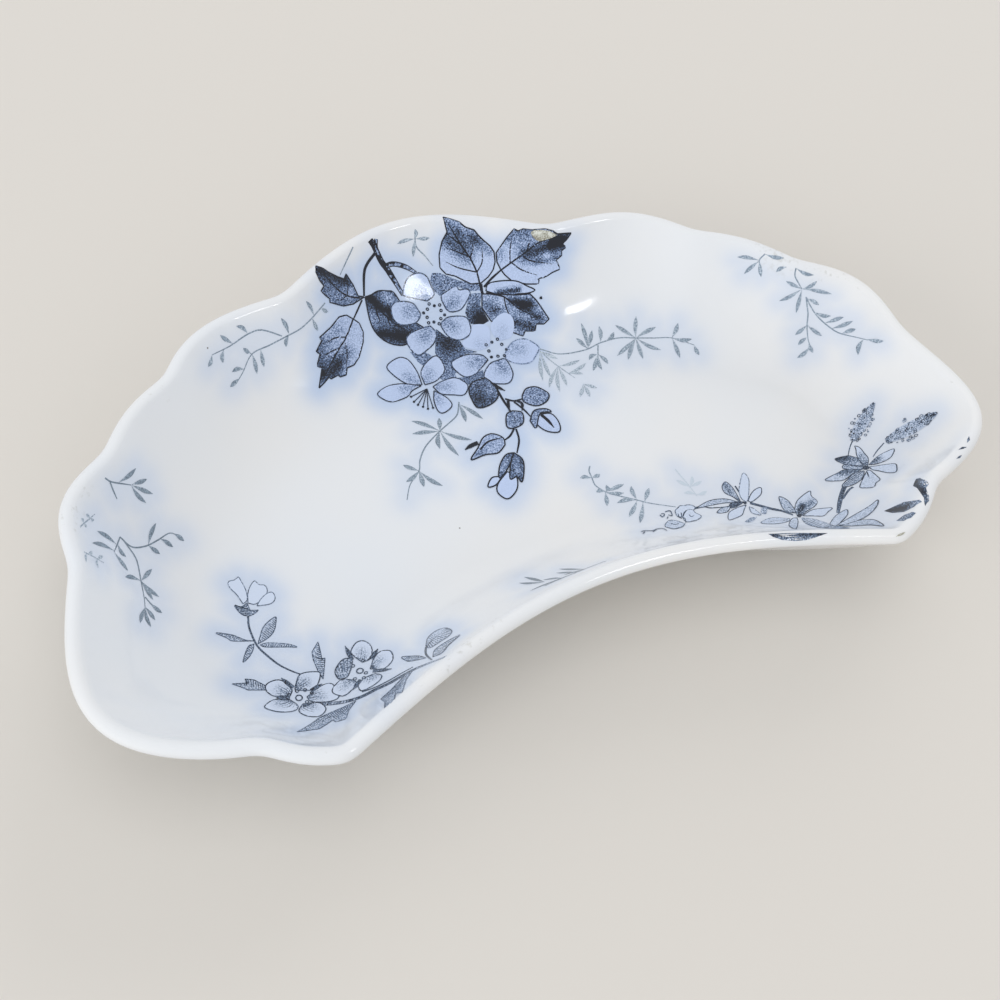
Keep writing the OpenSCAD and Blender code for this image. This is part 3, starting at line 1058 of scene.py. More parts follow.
LEFT_SPRAY_MIDDLE = (330, 665)
LEFT_PETALS = (
    (
        (243, 604), (237, 595), (230, 588), (228, 582), (235, 580), (238, 577), (241, 581), (246, 591),
        (247, 600)),
    (
        (248, 603), (248, 593), (251, 585), (255, 581), (259, 585), (264, 585), (267, 589), (266, 595),
        (256, 604)),
    ((257, 606), (261, 599), (268, 593), (273, 593), (275, 599), (270, 604)),
)
LEFT_BLOSSOMS = (
    dict(heart=(299, 698), rings=((289, 695), (297, 691), (305, 690), (312, 693), (307, 702)), petals=(
        ((295, 690), (296, 684), (301, 674), (318, 672), (320, 677), (317, 685), (311, 690)),
        ((307, 697), (312, 693), (319, 687), (332, 684), (339, 696), (332, 701), (313, 702)),
        ((303, 704), (299, 711), (307, 716), (320, 716), (326, 709), (319, 703)),
        ((290, 700), (274, 700), (265, 706), (267, 709), (279, 712), (294, 711), (298, 706)),
        ((290, 696), (274, 696), (266, 690), (267, 684), (277, 680), (286, 683), (292, 690)))),
    dict(
        heart=(360, 671), rings=((353, 666), (363, 661), (372, 668), (366, 673), (364, 678), (355, 679)),
        petals=(
            (
                (362, 662), (353, 655), (351, 651), (356, 643), (363, 641), (369, 644), (372, 650),
                (370, 659)),
            ((371, 667), (374, 659), (380, 652), (390, 651), (393, 658), (389, 665), (380, 670)),
            ((367, 677), (375, 674), (382, 676), (377, 683), (365, 690), (360, 690), (359, 683)),
            ((353, 680), (342, 680), (334, 687), (333, 693), (343, 696), (351, 691), (356, 683)))),
)
LEFT_DARK_PETAL = ((351, 669), (352, 660), (344, 659), (338, 665), (335, 672), (339, 679), (347, 677))
LEFT_WEDGES = (
    ((293, 688), (281, 678)), ((352, 660), (345, 646)), ((371, 659), (378, 649)), ((373, 671), (392, 669)),
    ((311, 691), (322, 684)), ((303, 706), (312, 703)), ((361, 680), (353, 690)), ((290, 698), (276, 698)),
)
LEFT_LEAVES = (
    dict(pale=0.35, curved=True, outline=(
        (247, 603), (251, 611), (258, 610), (254, 614), (248, 616), (241, 614), (234, 605), (241, 607))),
    dict(pale=0.2, curved=True, outline=(
        (258, 644), (260, 637), (264, 626), (275, 617), (276, 622), (274, 631), (268, 638))),
    dict(pale=0.22, curved=True, outline=(
        (254, 641), (245, 640), (232, 635), (216, 633), (227, 638), (233, 641))),
    dict(pale=0.22, curved=True, outline=((254, 644), (248, 647), (243, 662), (249, 657), (253, 650))),
    dict(pale=0.2, curved=True, outline=(
        (260, 645), (268, 643), (287, 644), (297, 647), (287, 647), (266, 647))),
    dict(pale=0.22, outline=(
        (266, 686), (254, 680), (245, 679), (248, 683), (232, 684), (241, 687), (248, 690), (265, 690))),
    dict(pale=0.22, outline=(
        (323, 679), (318, 671), (313, 659), (312, 652), (318, 642), (320, 650), (322, 660), (325, 658),
        (324, 671))),
    dict(pale=0.25, outline=(
        (356, 701), (344, 707), (332, 712), (319, 718), (297, 732), (312, 730), (319, 729), (333, 720),
        (336, 722), (346, 719), (349, 710))),
    dict(pale=0.25, outline=(
        (413, 670), (405, 675), (392, 689), (381, 699), (385, 702), (384, 714), (394, 701), (396, 692),
        (402, 693), (406, 680))),
    dict(
        pale=0.15, curved=True,
        outline=(
            (426, 646), (428, 638), (436, 631), (446, 628), (452, 631), (449, 636), (440, 642),
            (430, 648)),
        ribs=(((428, 645), (437, 637), (448, 632)),)),
    dict(pale=0.22, curved=True, outline=(
        (433, 657), (435, 650), (446, 642), (460, 635), (449, 645), (442, 653))),
    dict(pale=0.25, curved=True, outline=((426, 658), (418, 656), (402, 657), (407, 661), (412, 661))),
)
LEFT_STEMS = (
    (0.32, (
        (248, 616), (249, 627), (254, 640), (259, 648), (270, 658), (281, 666), (294, 672), (303, 675))),
    (0.75, (
        (322, 704), (344, 702), (361, 697), (375, 690), (390, 683), (402, 676), (415, 669), (432, 662),
        (450, 656))),
    (0.3, ((362, 692), (376, 687), (390, 680), (402, 673), (413, 667))),
    (0.3, ((426, 647), (426, 654), (432, 660))),
)

RIGHT_SPRAY_MIDDLE = (800, 500)
RIGHT_BLADES = (
    dict(pale=0.4, line=0.0, outline=(
        (810, 519), (821, 521), (833, 525), (850, 528), (838, 529), (815, 527))),
    dict(pale=0.3, line=0.0, outline=((757, 517), (750, 518), (745, 522), (752, 522))),
    dict(pale=0.25, line=0.0, outline=((761, 508), (767, 508), (766, 514), (761, 513))),
    dict(pale=0.17, outline=((741, 503), (725, 499), (709, 501), (697, 508), (708, 506), (725, 503))),
    dict(pale=0.08, spots=(((724, 484), (730, 492), 0.7, 0.4),), hairs=4, outline=(
        (741, 503), (733, 497), (725, 493), (722, 487), (725, 482), (730, 485), (734, 490), (738, 497))),
    dict(pale=0.02, line=0.4, outline=(
        (746, 502), (741, 498), (739, 491), (740, 483), (743, 473), (748, 478), (749, 485), (748, 499))),
    dict(pale=0.02, outline=(
        (748, 501), (751, 494), (756, 489), (761, 488), (761, 494), (756, 499), (751, 502))),
    dict(pale=0.5, spots=(((730, 506), (741, 503), 0.5, 0.25),), outline=(
        (744, 502), (735, 502), (730, 504), (730, 508), (736, 507))),
    dict(pale=0.2, outline=((731, 506), (722, 508), (717, 513), (727, 512))),
    dict(pale=0.03, outline=(
        (746, 505), (737, 508), (729, 513), (729, 520), (736, 518), (742, 515), (744, 510))),
    dict(pale=0.05, line=0.5, outline=((749, 507), (754, 509), (761, 515), (752, 513))),
    dict(pale=0.18, hairs=4, outline=(
        (795, 513), (787, 512), (782, 507), (779, 497), (787, 500), (792, 506), (796, 511))),
    dict(
        pale=0.03, spots=(((799, 513), (802, 506), 0.6, 0.75), ((804, 509), (813, 502), 0.7, 0.35)),
        hairs=5,
        outline=(
            (798, 516), (795, 511), (796, 503), (801, 497), (810, 491), (811, 496), (817, 501), (815, 506),
            (807, 511), (801, 516))),
    dict(pale=0.03, outline=(
        (803, 516), (810, 511), (818, 509), (832, 508), (828, 512), (823, 516), (813, 516))),
    dict(pale=0.18, cross=0.5, line=0.5, outline=(
        (802, 518), (812, 519), (820, 521), (830, 525), (825, 528), (812, 526), (804, 522))),
    dict(pale=0.14, outline=((797, 518), (792, 519), (789, 525), (792, 528), (796, 529), (798, 523))),
    dict(
        pale=0.1, line=0.5,
        outline=((790, 519), (777, 518), (768, 519), (761, 523), (772, 524), (782, 523), (789, 521)),
        ribs=(((788, 520), (777, 521), (768, 522)),)),
    dict(pale=0.03, spots=(((866, 464), (861, 457), 0.8, 0.35),), hairs=5, outline=(
        (867, 467), (863, 464), (857, 456), (856, 450), (855, 446), (860, 448), (864, 453), (868, 458),
        (868, 464))),
    dict(pale=0.03, spots=(((871, 463), (877, 459), 0.7, 0.55),), hairs=4, outline=(
        (869, 465), (876, 458), (884, 453), (894, 449), (893, 454), (890, 458), (885, 461), (877, 464))),
    dict(pale=0.06, outline=(
        (869, 467), (884, 465), (895, 464), (897, 468), (896, 472), (890, 473), (879, 471), (873, 470))),
    dict(
        pale=0.08,
        outline=(
            (867, 471), (863, 479), (860, 487), (865, 488), (874, 487), (876, 483), (880, 479),
            (871, 471)),
        ribs=(((867, 472), (870, 479)),)),
    dict(pale=0.32, spots=(((836, 459), (846, 458), 0.9, 0.5),), outline=(
        (864, 467), (858, 459), (853, 457), (847, 456), (835, 459), (841, 463), (847, 465), (861, 466))),
    dict(pale=0.28, outline=((863, 467), (845, 465), (844, 469), (863, 469))),
    dict(pale=0.1, spots=(((838, 473), (860, 470), 0.7, 0.5),), outline=(
        (863, 469), (845, 470), (838, 473), (825, 480), (836, 481), (844, 480), (853, 474))),
    dict(pale=0.24, cross=0.4, outline=(
        (864, 471), (855, 473), (848, 479), (842, 486), (846, 487), (853, 485), (861, 480), (864, 474))),
    dict(pale=0.12, outline=(
        (837, 525), (853, 516), (870, 506), (878, 500), (877, 506), (870, 514), (860, 520), (845, 525))),
    dict(pale=0.16, outline=((839, 526), (858, 521), (874, 520), (884, 526), (870, 525), (853, 526))),
    dict(pale=0.1, outline=(
        (831, 525), (830, 524), (836, 516), (846, 510), (848, 513), (845, 518), (836, 526))),
)
ROSE_BLADES = (
    dict(pale=0.03, outline=(
        (686, 517), (678, 517), (676, 514), (675, 511), (678, 508), (680, 506), (684, 506), (688, 505),
        (693, 506), (695, 508), (692, 512))),
    dict(pale=0.03, outline=(
        (684, 520), (683, 515), (686, 511), (692, 510), (695, 513), (701, 516), (699, 519), (694, 521),
        (687, 522))),
    dict(pale=0.12, outline=(
        (685, 524), (676, 521), (669, 521), (665, 526), (669, 528), (675, 529), (682, 527))),
)
ROSE_CURLS = (
    ((660, 515), (662, 517), (664, 516), (664, 514), (661, 514)),
    ((665, 512), (669, 511), (671, 512), (672, 516), (668, 515)),
    ((681, 513), (682, 517), (685, 519), (686, 523)), ((686, 511), (684, 514), (683, 517)),
    ((678, 514), (679, 517), (682, 519)), ((689, 515), (691, 517), (694, 516)), ((668, 517), (667, 519)),
    ((671, 524), (675, 525), (679, 524)),
    ((641, 532), (645, 531), (652, 531), (658, 529), (664, 529), (667, 531)), ((643, 534), (645, 532)),
    ((653, 532), (656, 530)),
)
RIGHT_STEMS = (
    (0.3, ((694, 508), (702, 506), (710, 502), (720, 500))),
    (0.25, ((694, 509), (704, 507), (711, 508), (725, 507))),
    (0.5, ((750, 503), (761, 506), (772, 509), (782, 511), (793, 515))),
    (0.2, ((853, 440), (850, 447), (848, 456))), (0.75, ((845, 486), (842, 493), (840, 501), (838, 513))),
    (0.4, ((853, 487), (848, 491), (843, 499))), (0.2, ((884, 443), (877, 451), (873, 457))),
    (0.3, ((740, 483), (741, 492), (745, 500))), (0.3, ((735, 486), (739, 492), (745, 501))),
    (0.3, ((803, 519), (820, 525), (838, 528))),
)
RIGHT_HEARTS = (((745, 503), 0.3), ((799, 516), 0.4), ((866, 468), 0.55))
# Prints that sit on the horn, the lip and the end wall, each with the middle of its own drawing plane
RIGHT_EDGES = (
    dict(name="right_spray_horn", middle=(905, 502), blades=(
        dict(
            pale=0.66, spots=(((916, 482), (922, 492), 0.7, 0.3), ((921, 482), (927, 484), 0.7, -0.3)),
            outline=(
                (925, 506), (924, 498), (920, 492), (917, 488), (913, 486), (916, 479), (920, 478),
                (922, 479), (927, 481), (929, 484), (926, 488), (929, 496), (929, 501))),
        dict(
            pale=0.55, spots=(((886, 511), (905, 508), 0.8, 0.4), ((914, 504), (920, 501), 0.6, -0.2)),
            outline=(
                (922, 502), (920, 500), (904, 502), (895, 506), (884, 511), (892, 513), (904, 512),
                (914, 507))),
        dict(pale=0.5, outline=((916, 513), (913, 512), (904, 515), (896, 521), (904, 521), (911, 518))))),
    dict(name="right_spray_lip", middle=(799, 536), blades=(
        dict(pale=0.42, spots=(((772, 535), (826, 534), 0.4, 0.35),), outline=(
            (768, 534), (790, 533), (813, 533), (828, 533), (817, 537), (807, 540), (795, 541), (782, 540),
            (773, 537))),)),
    dict(name="right_spray_end", middle=(963, 448), blades=(
        dict(pale=0.6, outline=((969, 436), (967, 440), (967, 443), (970, 440))),
        dict(pale=0.6, outline=((958, 450), (962, 447), (967, 447), (963, 449))),
        dict(pale=0.6, outline=((956, 459), (959, 456), (962, 455), (960, 458))))),
)
SEED_HEADS = (
    dict(base=(852, 441), tip=(874, 403), width=3.4, seeds=46),
    dict(base=(886, 441), tip=(937, 413), width=4.2, seeds=70),
)
# Glaze worn off the rim: through the print at the back, and stained brown at the right horn
RIM_WEAR = (
    dict(
        name="rim_wear_back", middle=(542, 235), pale=0.4,
        spots=(
            ((536, 233), (541, 233), 0.4, -0.4), ((549, 233), (551, 235), 0.4, -0.4),
            ((533, 237), (537, 240), 0.4, 0.3)),
        outline=(
            (557, 235), (549, 231), (537, 230), (531, 232), (533, 237), (538, 241), (544, 240),
            (551, 238))),
    dict(
        name="rim_wear_horn", middle=(900, 535), pale=0.18, spots=(((897, 536), (903, 533), 0.4, 0.25),),
        outline=((895, 537), (899, 534), (905, 532), (902, 535))),
)

SPRIGS = {
    "sprig_back_left": dict(
        middle=(270, 340), width=0.95, tone=0.62,
        stems=(
            (
                (325, 303), (312, 318), (300, 329), (289, 335), (270, 345), (252, 354), (243, 372),
                (236, 384)),
            ((282, 336), (262, 330), (248, 334), (230, 346), (212, 355)), ((353, 247), (340, 275))),
        whorls=(
            ((313, 312), ((306, 301),)), ((320, 306), ((328, 312),)), ((311, 317), ((318, 331),)),
            ((289, 333), ((281, 318), (286, 347))), ((247, 333), ((236, 326),)),
            ((234, 343), ((220, 335),)), ((224, 348), ((223, 363),)), ((213, 354), ((208, 367),)),
            ((262, 350), ((264, 367),)), ((253, 354), ((243, 348), (257, 374))),
            ((244, 370), ((232, 372),)), ((240, 378), ((230, 387),)))),
    "sprig_back_top": dict(
        middle=(415, 245), width=0.9, tone=0.5, stems=(((415, 231), (416, 246), (425, 256), (433, 266)),),
        whorls=(((416, 240), ((397, 244), (430, 238), (413, 257), (415, 229))),)),
    "sprig_right": dict(
        middle=(620, 345), width=1.05, tone=0.55,
        stems=(
            (
                (540, 349), (560, 354), (585, 350), (600, 343), (618, 338), (636, 338), (655, 338),
                (672, 338), (694, 345)),
            ((598, 345), (598, 356))),
        whorls=(
            ((588, 349), ((581, 323), (592, 330), (576, 338))), ((601, 342), ((599, 326),)),
            ((606, 341), ((614, 332),)), ((598, 355), ((589, 360), (593, 371), (602, 370), (608, 364))),
            ((636, 338), (
                (615, 325), (636, 316), (656, 327), (661, 350), (643, 359), (628, 360), (617, 356))),
            ((672, 338), ((678, 323), (692, 339), (680, 358))), ((694, 344), ((699, 355),)))),
    "sprig_right_low": dict(
        middle=(565, 372), width=0.95, tone=0.33, stems=(((540, 351), (555, 364), (575, 378)),),
        whorls=(
            ((541, 352), ((543, 381), (551, 378), (558, 359))),
            ((558, 366), ((580, 360), (549, 388), (560, 392), (567, 386))),
            ((568, 373), ((586, 363), (583, 374))), ((583, 384), ((597, 388), (580, 397), (590, 397))))),
    "sprig_below": dict(
        middle=(440, 450), width=1.1, tone=0.66,
        stems=(
            (
                (459, 402), (457, 415), (448, 424), (440, 431), (426, 446), (420, 460), (419, 471),
                (410, 485), (407, 500)),),
        whorls=(
            ((440, 431), ((411, 421), (412, 434), (439, 418), (472, 440), (459, 456), (440, 449))),
            ((419, 472), ((403, 465), (443, 486), (406, 482), (424, 487))),
            ((460, 404), ((483, 419), (466, 422))))),
    "sprig_right_end": dict(
        middle=(810, 305), width=0.95, tone=0.57,
        stems=(
            ((765, 254), (760, 259), (759, 263)), ((796, 268), (795, 276), (799, 284), (802, 289)),
            ((806, 297), (807, 305), (808, 315), (807, 325), (808, 339), (811, 348)),
            ((806, 297), (811, 307), (818, 317), (828, 326), (839, 333), (855, 337), (868, 340))),
        whorls=(
            ((759, 260), ((737, 257), (744, 274), (761, 277))), ((770, 257), ((784, 258),)),
            ((787, 267), ((776, 272),)), ((800, 267), ((814, 275),)),
            ((802, 289), ((786, 281), (817, 281))), ((797, 292), ((779, 301),)),
            ((800, 293), ((796, 313),)), ((803, 292), ((832, 294),)), ((807, 298), ((819, 305),)),
            ((815, 311), ((831, 316),)), ((826, 323), ((844, 317),)), ((832, 328), ((853, 321),)),
            ((841, 334), ((856, 329),)), ((866, 340), ((884, 341),)), ((864, 341), ((858, 355),)),
            ((806, 326), ((795, 335), (822, 336))), ((807, 338), ((798, 345),)),
            ((807, 348), ((797, 358),)), ((808, 342), ((813, 353),)))),
    "sprig_left_end": dict(
        middle=(135, 545), width=0.95, tone=0.75,
        stems=(
            ((105, 478), (112, 482), (131, 485)), ((110, 482), (113, 490), (117, 499)),
            ((120, 537), (132, 547), (146, 546), (158, 540), (170, 533), (180, 537)),
            ((124, 541), (134, 555), (138, 565), (141, 581), (144, 597), (145, 607)),
            ((145, 597), (153, 606), (161, 612)), ((120, 537), (117, 545), (114, 552))),
        whorls=(
            ((119, 481), ((136, 468),)), ((133, 484), ((147, 479), (153, 494), (146, 503))),
            ((117, 545), ((97, 531),)), ((114, 550), ((92, 543),)), ((115, 553), ((128, 571),)),
            ((120, 545), ((126, 557),)), ((147, 545), ((156, 523), (160, 554))),
            ((160, 541), ((173, 547),)), ((174, 534), ((184, 541),)),
            ((141, 581), ((125, 577), (152, 569), (159, 597), (153, 600))),
            ((145, 607), ((140, 623), (151, 627), (155, 620))), ((150, 603), ((162, 613),)))),
    "sprig_left_faint": dict(
        middle=(92, 540), width=0.75, tone=0.34,
        stems=(((80, 527), (88, 520), (95, 514)), ((84, 552), (94, 557), (104, 563))),
        whorls=(
            ((84, 524), ((81, 518), (87, 527))), ((90, 518), ((86, 514), (94, 520))),
            ((88, 555), ((92, 551), (86, 562))), ((97, 559), ((103, 556), (98, 568))))),
    "sprig_front_right": dict(
        middle=(630, 497), width=1.05, tone=0.52,
        stems=(
            (
                (590, 466), (589, 471), (592, 478), (595, 485), (602, 490), (611, 494), (637, 500),
                (649, 503), (676, 507)),),
        whorls=(
            ((591, 478), ((580, 478), (600, 474))),
            ((606, 492), ((624, 484), (624, 493), (596, 492), (606, 485))), ((603, 497), ((607, 506),)),
            ((636, 501), ((617, 503), (631, 486))), ((645, 498), ((649, 488),)),
            ((637, 504), ((629, 517),)), ((643, 505), ((640, 523),)))),
    "sprig_front_faint": dict(
        middle=(685, 480), width=0.9, tone=0.05, stems=(((675, 469), (690, 487), (697, 496)),),
        whorls=(
            ((690, 486), ((692, 476), (702, 481), (676, 480))), ((697, 495), ((707, 491), (684, 493))))),
    "sprig_front_edge": dict(
        middle=(565, 574), width=0.95, tone=0.95,
        stems=(((606, 561), (590, 567), (575, 573), (560, 579), (545, 586)),),
        whorls=(
            ((583, 569), ((559, 569), (564, 575))), ((578, 572), ((543, 586), (556, 573))),
            ((560, 578), ((530, 591), (543, 580))), ((545, 582), ((519, 583), (524, 577))))),
}

# Blue that bled into the glaze round the pieces whose names start so: its strength, and its reach in
# millimetres. On the lip only a share of it is left
FLOWS = (
    ("back_spray", 0.9, 3.0), ("back_buds", 0.7, 3.0), ("left_spray", 0.62, 2.6), ("right_spray", 0.42, 2.8),
    ("sprig", 0.42, 2.8),
)
LIP_FLOW = 0.25
# Points round the rings of the clay and of the glaze
BODY_POINTS, GLAZE_POINTS = 256, 480
FOOT_WEAR_MM = 0.3


class DISH_OT_clay(bpy.types.Operator):
    """Biscuit-fired clay body, bare on its foot rim"""
    bl_idname = "dish.clay"
    bl_label = "Clay body"

    def execute(self, context):
        form = DishForm(sizes_mm(context), BODY_POINTS)
        size = form.size
        under = size["foot_height"] + size["glaze"]
        foot = size["foot_set"] + size["foot_draft"]
        rings = [ring for ring, _ in skin(
            form, size["glaze"], floor_rings=6, wall_rings=12, lip_rings=7, back_rings=8)]
        rings += [form.flat_ring(0, inset=foot), form.flat_ring(0, inset=foot + size["foot_face"]),
                  form.flat_ring(under, inset=foot + size["foot_face"] + size["foot_draft"]),
                  form.flat_ring(under, part=HOLLOW_END)]
        bm = bmesh.new()
        made = loft(bm, rings)
        worn = [bm.edges.get((ring[i - 1], ring[i])) for ring in made[-4:-2] for i in range(len(ring))]
        bmesh.ops.bevel(bm, geom=worn, offset=FOOT_WEAR_MM * MM, segments=3, profile=0.5, affect="EDGES",
                        material=-1)
        new_piece(context, bm, "dish_body", biscuit_clay(context.scene.dish_colours),
                  "earthenware_body")
        return {"FINISHED"}


class DISH_OT_glaze(bpy.types.Operator):
    """Glossy glaze over the face, the lip and the back of the wall"""
    bl_idname = "dish.glaze"
    bl_label = "Glaze"

    def execute(self, context):
        form = DishForm(sizes_mm(context), GLAZE_POINTS)
        outer = skin(form, 0, floor_rings=16, wall_rings=34, lip_rings=18, back_rings=14)
        inner = skin(form, form.size["glaze"], floor_rings=4, wall_rings=10, lip_rings=6, back_rings=6)[::-1]
        bm = bmesh.new()
        wear = bm.verts.layers.float.new("lip")
        made = loft(bm, [ring for ring, _ in outer + inner])
        for verts, (_, worn) in zip(made, outer + inner):
            for vert in verts:
                vert[wear] = worn
        glaze = white_glaze(context.scene.dish_colours)
        new_piece(context, bm, "dish_glaze", glaze, "glaze_coat")
        base = frame["nodes"]["base_glaze"]
        base.data.materials.clear()
        base.data.materials.append(glaze)
        return {"FINISHED"}


def heart_shade(outline, radius, tone):
    """Soft shade over the inner part of a petal."""
    base = Vector(outline[0])
    tip = max((Vector(pixel) for pixel in outline), key=lambda pixel: (pixel - base).length)
    return ((base, base.lerp(tip, 0.4), radius, tone),)


class DISH_OT_back_spray(bpy.types.Operator):
    """Large dark spray on the back wall: leaves and twigs, blossoms, and hanging buds"""
    bl_idname = "dish.back_spray"
    bl_label = "Back spray"

    def execute(self, context):
        face = GlazedFace(context)
        film = Film(context, face, BACK_SPRAY_MIDDLE)
        for one in BACK_SHADOWS:
            blade(film, **one, line=0.0)
        for width, pixels in BACK_TWIGS:
            stem(film, pixels, width, 0.95, core=0.4)
        for one in BACK_LEAVES:
            blade(film, **one)
        for one in BACK_BLOSSOMS:
            for line, outline in one["petals"]:
                shade = heart_shade(outline, 1.3, 0.1 + 0.25 * line)
                blade(film, outline, curved=True, pale=0.06 * line, spots=shade, line=line, weight=0.95)
            stamens(film, one["centre"], one["ring"], one["stamens"], 0.85)
        for outline in NODDING_PETALS:
            shade = heart_shade(outline, 1.1, 0.22)
            blade(film, outline, curved=True, pale=0.03, spots=shade, line=0.85, weight=0.85)
        film.level += 1
        heart = film.plane.flat(NODDING_HEART)
        for tip in film.flat(NODDING_STAMENS):
            film.stroke([heart, tip], 0.16, 0.85)
            film.dot(tip, 0.22, 0.95)
        ink = underglaze_ink(context, "cobalt_ink_dark")
        buds = Film(context, face, BACK_SPRAY_MIDDLE)
        buds.level = film.level
        for one in BACK_BUDS:
            blade(buds, **one, curved=True)
        for width, pixels in BACK_SEPALS:
            stem(buds, pixels, width, 0.95, end=0.3)
        film.finish(context, "back_spray", ink)
        buds.finish(context, "back_buds", ink)
        return {"FINISHED"}


class DISH_OT_side_sprays(bpy.types.Operator):
    """Finer sprays of flowers and leaves along the two horns"""
    bl_idname = "dish.side_sprays"
    bl_label = "Side sprays"

    def left_spray(self, film):
        for width, pixels in LEFT_STEMS:
            stem(film, pixels, width, 0.72, core=0.25)
        for one in LEFT_LEAVES:
            blade(film, **one, line=0.62, weight=0.65, cross=0.36)
        for outline in LEFT_PETALS:
            blade(film, outline, curved=True, pale=0.0, line=0.55, weight=0.6)
        for one in LEFT_BLOSSOMS:
            for outline in one["petals"]:
                shade = heart_shade(outline, 1.0, 0.2)
                blade(film, outline, curved=True, pale=0.0, spots=shade, line=0.75, weight=0.8, hairs=7)
            film.level += 1
            ringlet(film, film.plane.flat(one["heart"]), 0.5, 0.2, 0.75)
            for pixel in one["rings"]:
                ringlet(film, film.plane.flat(pixel), 0.25, 0.15, 0.8)
        blade(film, LEFT_DARK_PETAL, curved=True, pale=0.3, line=0.8, weight=0.8, cross=0.35)
        for pixels in LEFT_WEDGES:
            stem(film, pixels, 0.7, 0.7, end=0.15)

    def right_spray(self, film):
        for width, pixels in RIGHT_STEMS:
            stem(film, pixels, width, 0.7, core=0.35)
        for one in RIGHT_BLADES:
            blade(film, **{"curved": True, "line": 0.78, "weight": 0.66, **one})
        for pixel, radius in RIGHT_HEARTS:
            film.level += 1
            film.dot(film.plane.flat(pixel), radius, 0.85)
        for one in ROSE_BLADES:
            blade(film, **one, curved=True, line=0.6, weight=0.7)
        for pixels in ROSE_CURLS:
            stem(film, pixels, 0.2, 0.65)
        for head in SEED_HEADS:
            self.seed_head(film, *film.flat((head["base"], head["tip"])), head["width"], head["seeds"])

    def seed_head(self, film, base, tip, width, seeds):
        """Grass ear: a soft wash that fades to its edges, thick with small rings and seeds."""
        side = left_of(tip - base) * width / 2
        rows = [k / 12 for k in range(13)]
        swell = [math.sin(math.pi * (0.06 + 0.9 * s)) ** 0.7 for s in rows]
        edges = [Path([base.lerp(tip, s) + side * w * edge for s, w in zip(rows, swell)])
                 for edge in (0.62, -0.62)]
        axis = (tip - base).normalized()
        film.level += 1
        film.wash(*edges, lambda spot: 0.3 - 0.24 * ((spot - base).cross(axis) * 3.2 / width) ** 2)
        film.level += 1
        for k in range(seeds):
            s = film.random.random()
            t = film.random.uniform(-1.05, 1.05) * math.sin(math.pi * (0.14 + 0.82 * s)) ** 1.3
            place, tone = base.lerp(tip, s) + side * t, film.random.uniform(0.6, 1.0) * (1.1 - 0.5 * abs(t))
            if k % 3:
                ringlet(film, place, film.random.uniform(0.17, 0.26), 0.11, tone)
            else:
                film.dot(place, film.random.uniform(0.1, 0.2), tone)

    def execute(self, context):
        face, ink = GlazedFace(context), underglaze_ink(context, "cobalt_ink_grey")
        film = Film(context, face, LEFT_SPRAY_MIDDLE)
        self.left_spray(film)
        film.finish(context, "left_spray", ink)
        film = Film(context, face, RIGHT_SPRAY_MIDDLE)
        self.right_spray(film)
        film.finish(context, "right_spray", ink)
        for one in RIGHT_EDGES:
            film = Film(context, face, one["middle"])
            for leaf in one["blades"]:
                blade(film, **leaf, line=0.0)
            film.finish(context, one["name"], ink)
        return {"FINISHED"}


# Worn places lie over the print by as many steps as this
WEAR_LEVEL = 60


class DISH_OT_wear(bpy.types.Operator):
    """Worn and stained places on the rim"""
    bl_idname = "dish.wear"
    bl_label = "Rim wear"

    def execute(self, context):
        face, worn = GlazedFace(context), underglaze_ink(context, "worn_glaze")
        for one in RIM_WEAR:
            film = Film(context, face, one["middle"])
            film.level = WEAR_LEVEL
            blade(film, one["outline"], curved=True, pale=one["pale"], spots=one["spots"], line=0.0)
            film.finish(context, one["name"], worn)
        return {"FINISHED"}


class DISH_OT_sprigs(bpy.types.Operator):
    """Pale fern-like sprigs scattered round the wall"""
    bl_idname = "dish.sprigs"
    bl_label = "Sprigs"

    def execute(self, context):
        face, ink = GlazedFace(context), underglaze_ink(context, "cobalt_ink_pale")
        for name, one in SPRIGS.items():
            film = Film(context, face, one["middle"])
            sprig(film, one["stems"], one["whorls"], one["width"], one["tone"])
            film.finish(context, name, ink)
        return {"FINISHED"}


class DISH_OT_flow(bpy.types.Operator):
    """Blue that bled from the print into the glaze round it"""
    bl_idname = "dish.flow"
    bl_label = "Flow blue"

    def execute(self, context):
        mesh = bpy.data.objects["dish_glaze"].data
        blue = [0.0] * len(mesh.vertices)
        for start, strength, reach in FLOWS:
            pieces = [o.data for o in context.scene.objects if o.name.startswith(start)]
            inked = [vert.co for piece in pieces for vert in piece.vertices]
            spots = KDTree(len(inked))
            for i, place in enumerate(inked):
                spots.insert(place, i)
            spots.balance()
            for i, vert in enumerate(mesh.vertices):
                gap = spots.find(vert.co)[2] / (reach * MM)
                blue[i] = max(blue[i], strength * math.exp(-gap * gap))
        for i, lip in enumerate(mesh.attributes["lip"].data):
            blue[i] *= 1 - (1 - LIP_FLOW) * min(1.0, lip.value)
        mesh.attributes.new("flow", "FLOAT", "POINT").data.foreach_set("value", blue)
        return {"FINISHED"}


# Soft lamps that only shade: name, place and aim in metres, width in metres and power in watts
SOFT_LAMPS = (
    ("softbox_left", (-1.3, -0.2, 0.45), (0, 0, 0), 1.0, 6.6),
    ("softbox_front", (-0.2, -1.3, 0.5), (0, 0, 0), 1.0, 1.9),
    ("softbox_back", (0.9, 0.9, 0.6), (0, 0, 0), 1.0, 4.7),
    ("softbox_top", (0, 0, 1.4), (0, 0, 0), 1.0, 1.9),
)
# Small lamps that only glint in the glaze: the pixel that they glint at, distance in metres, length and
# width in metres, turn in degrees and power in watts
GLINT_LAMPS = (
    ("glint_blossom", (415, 288.6), 1.2, 0.17, 0.17, 0.0, 0.9),
    ("glint_back", (584, 307), 1.2, 0.12, 0.025, 65.0, 0.14),
)
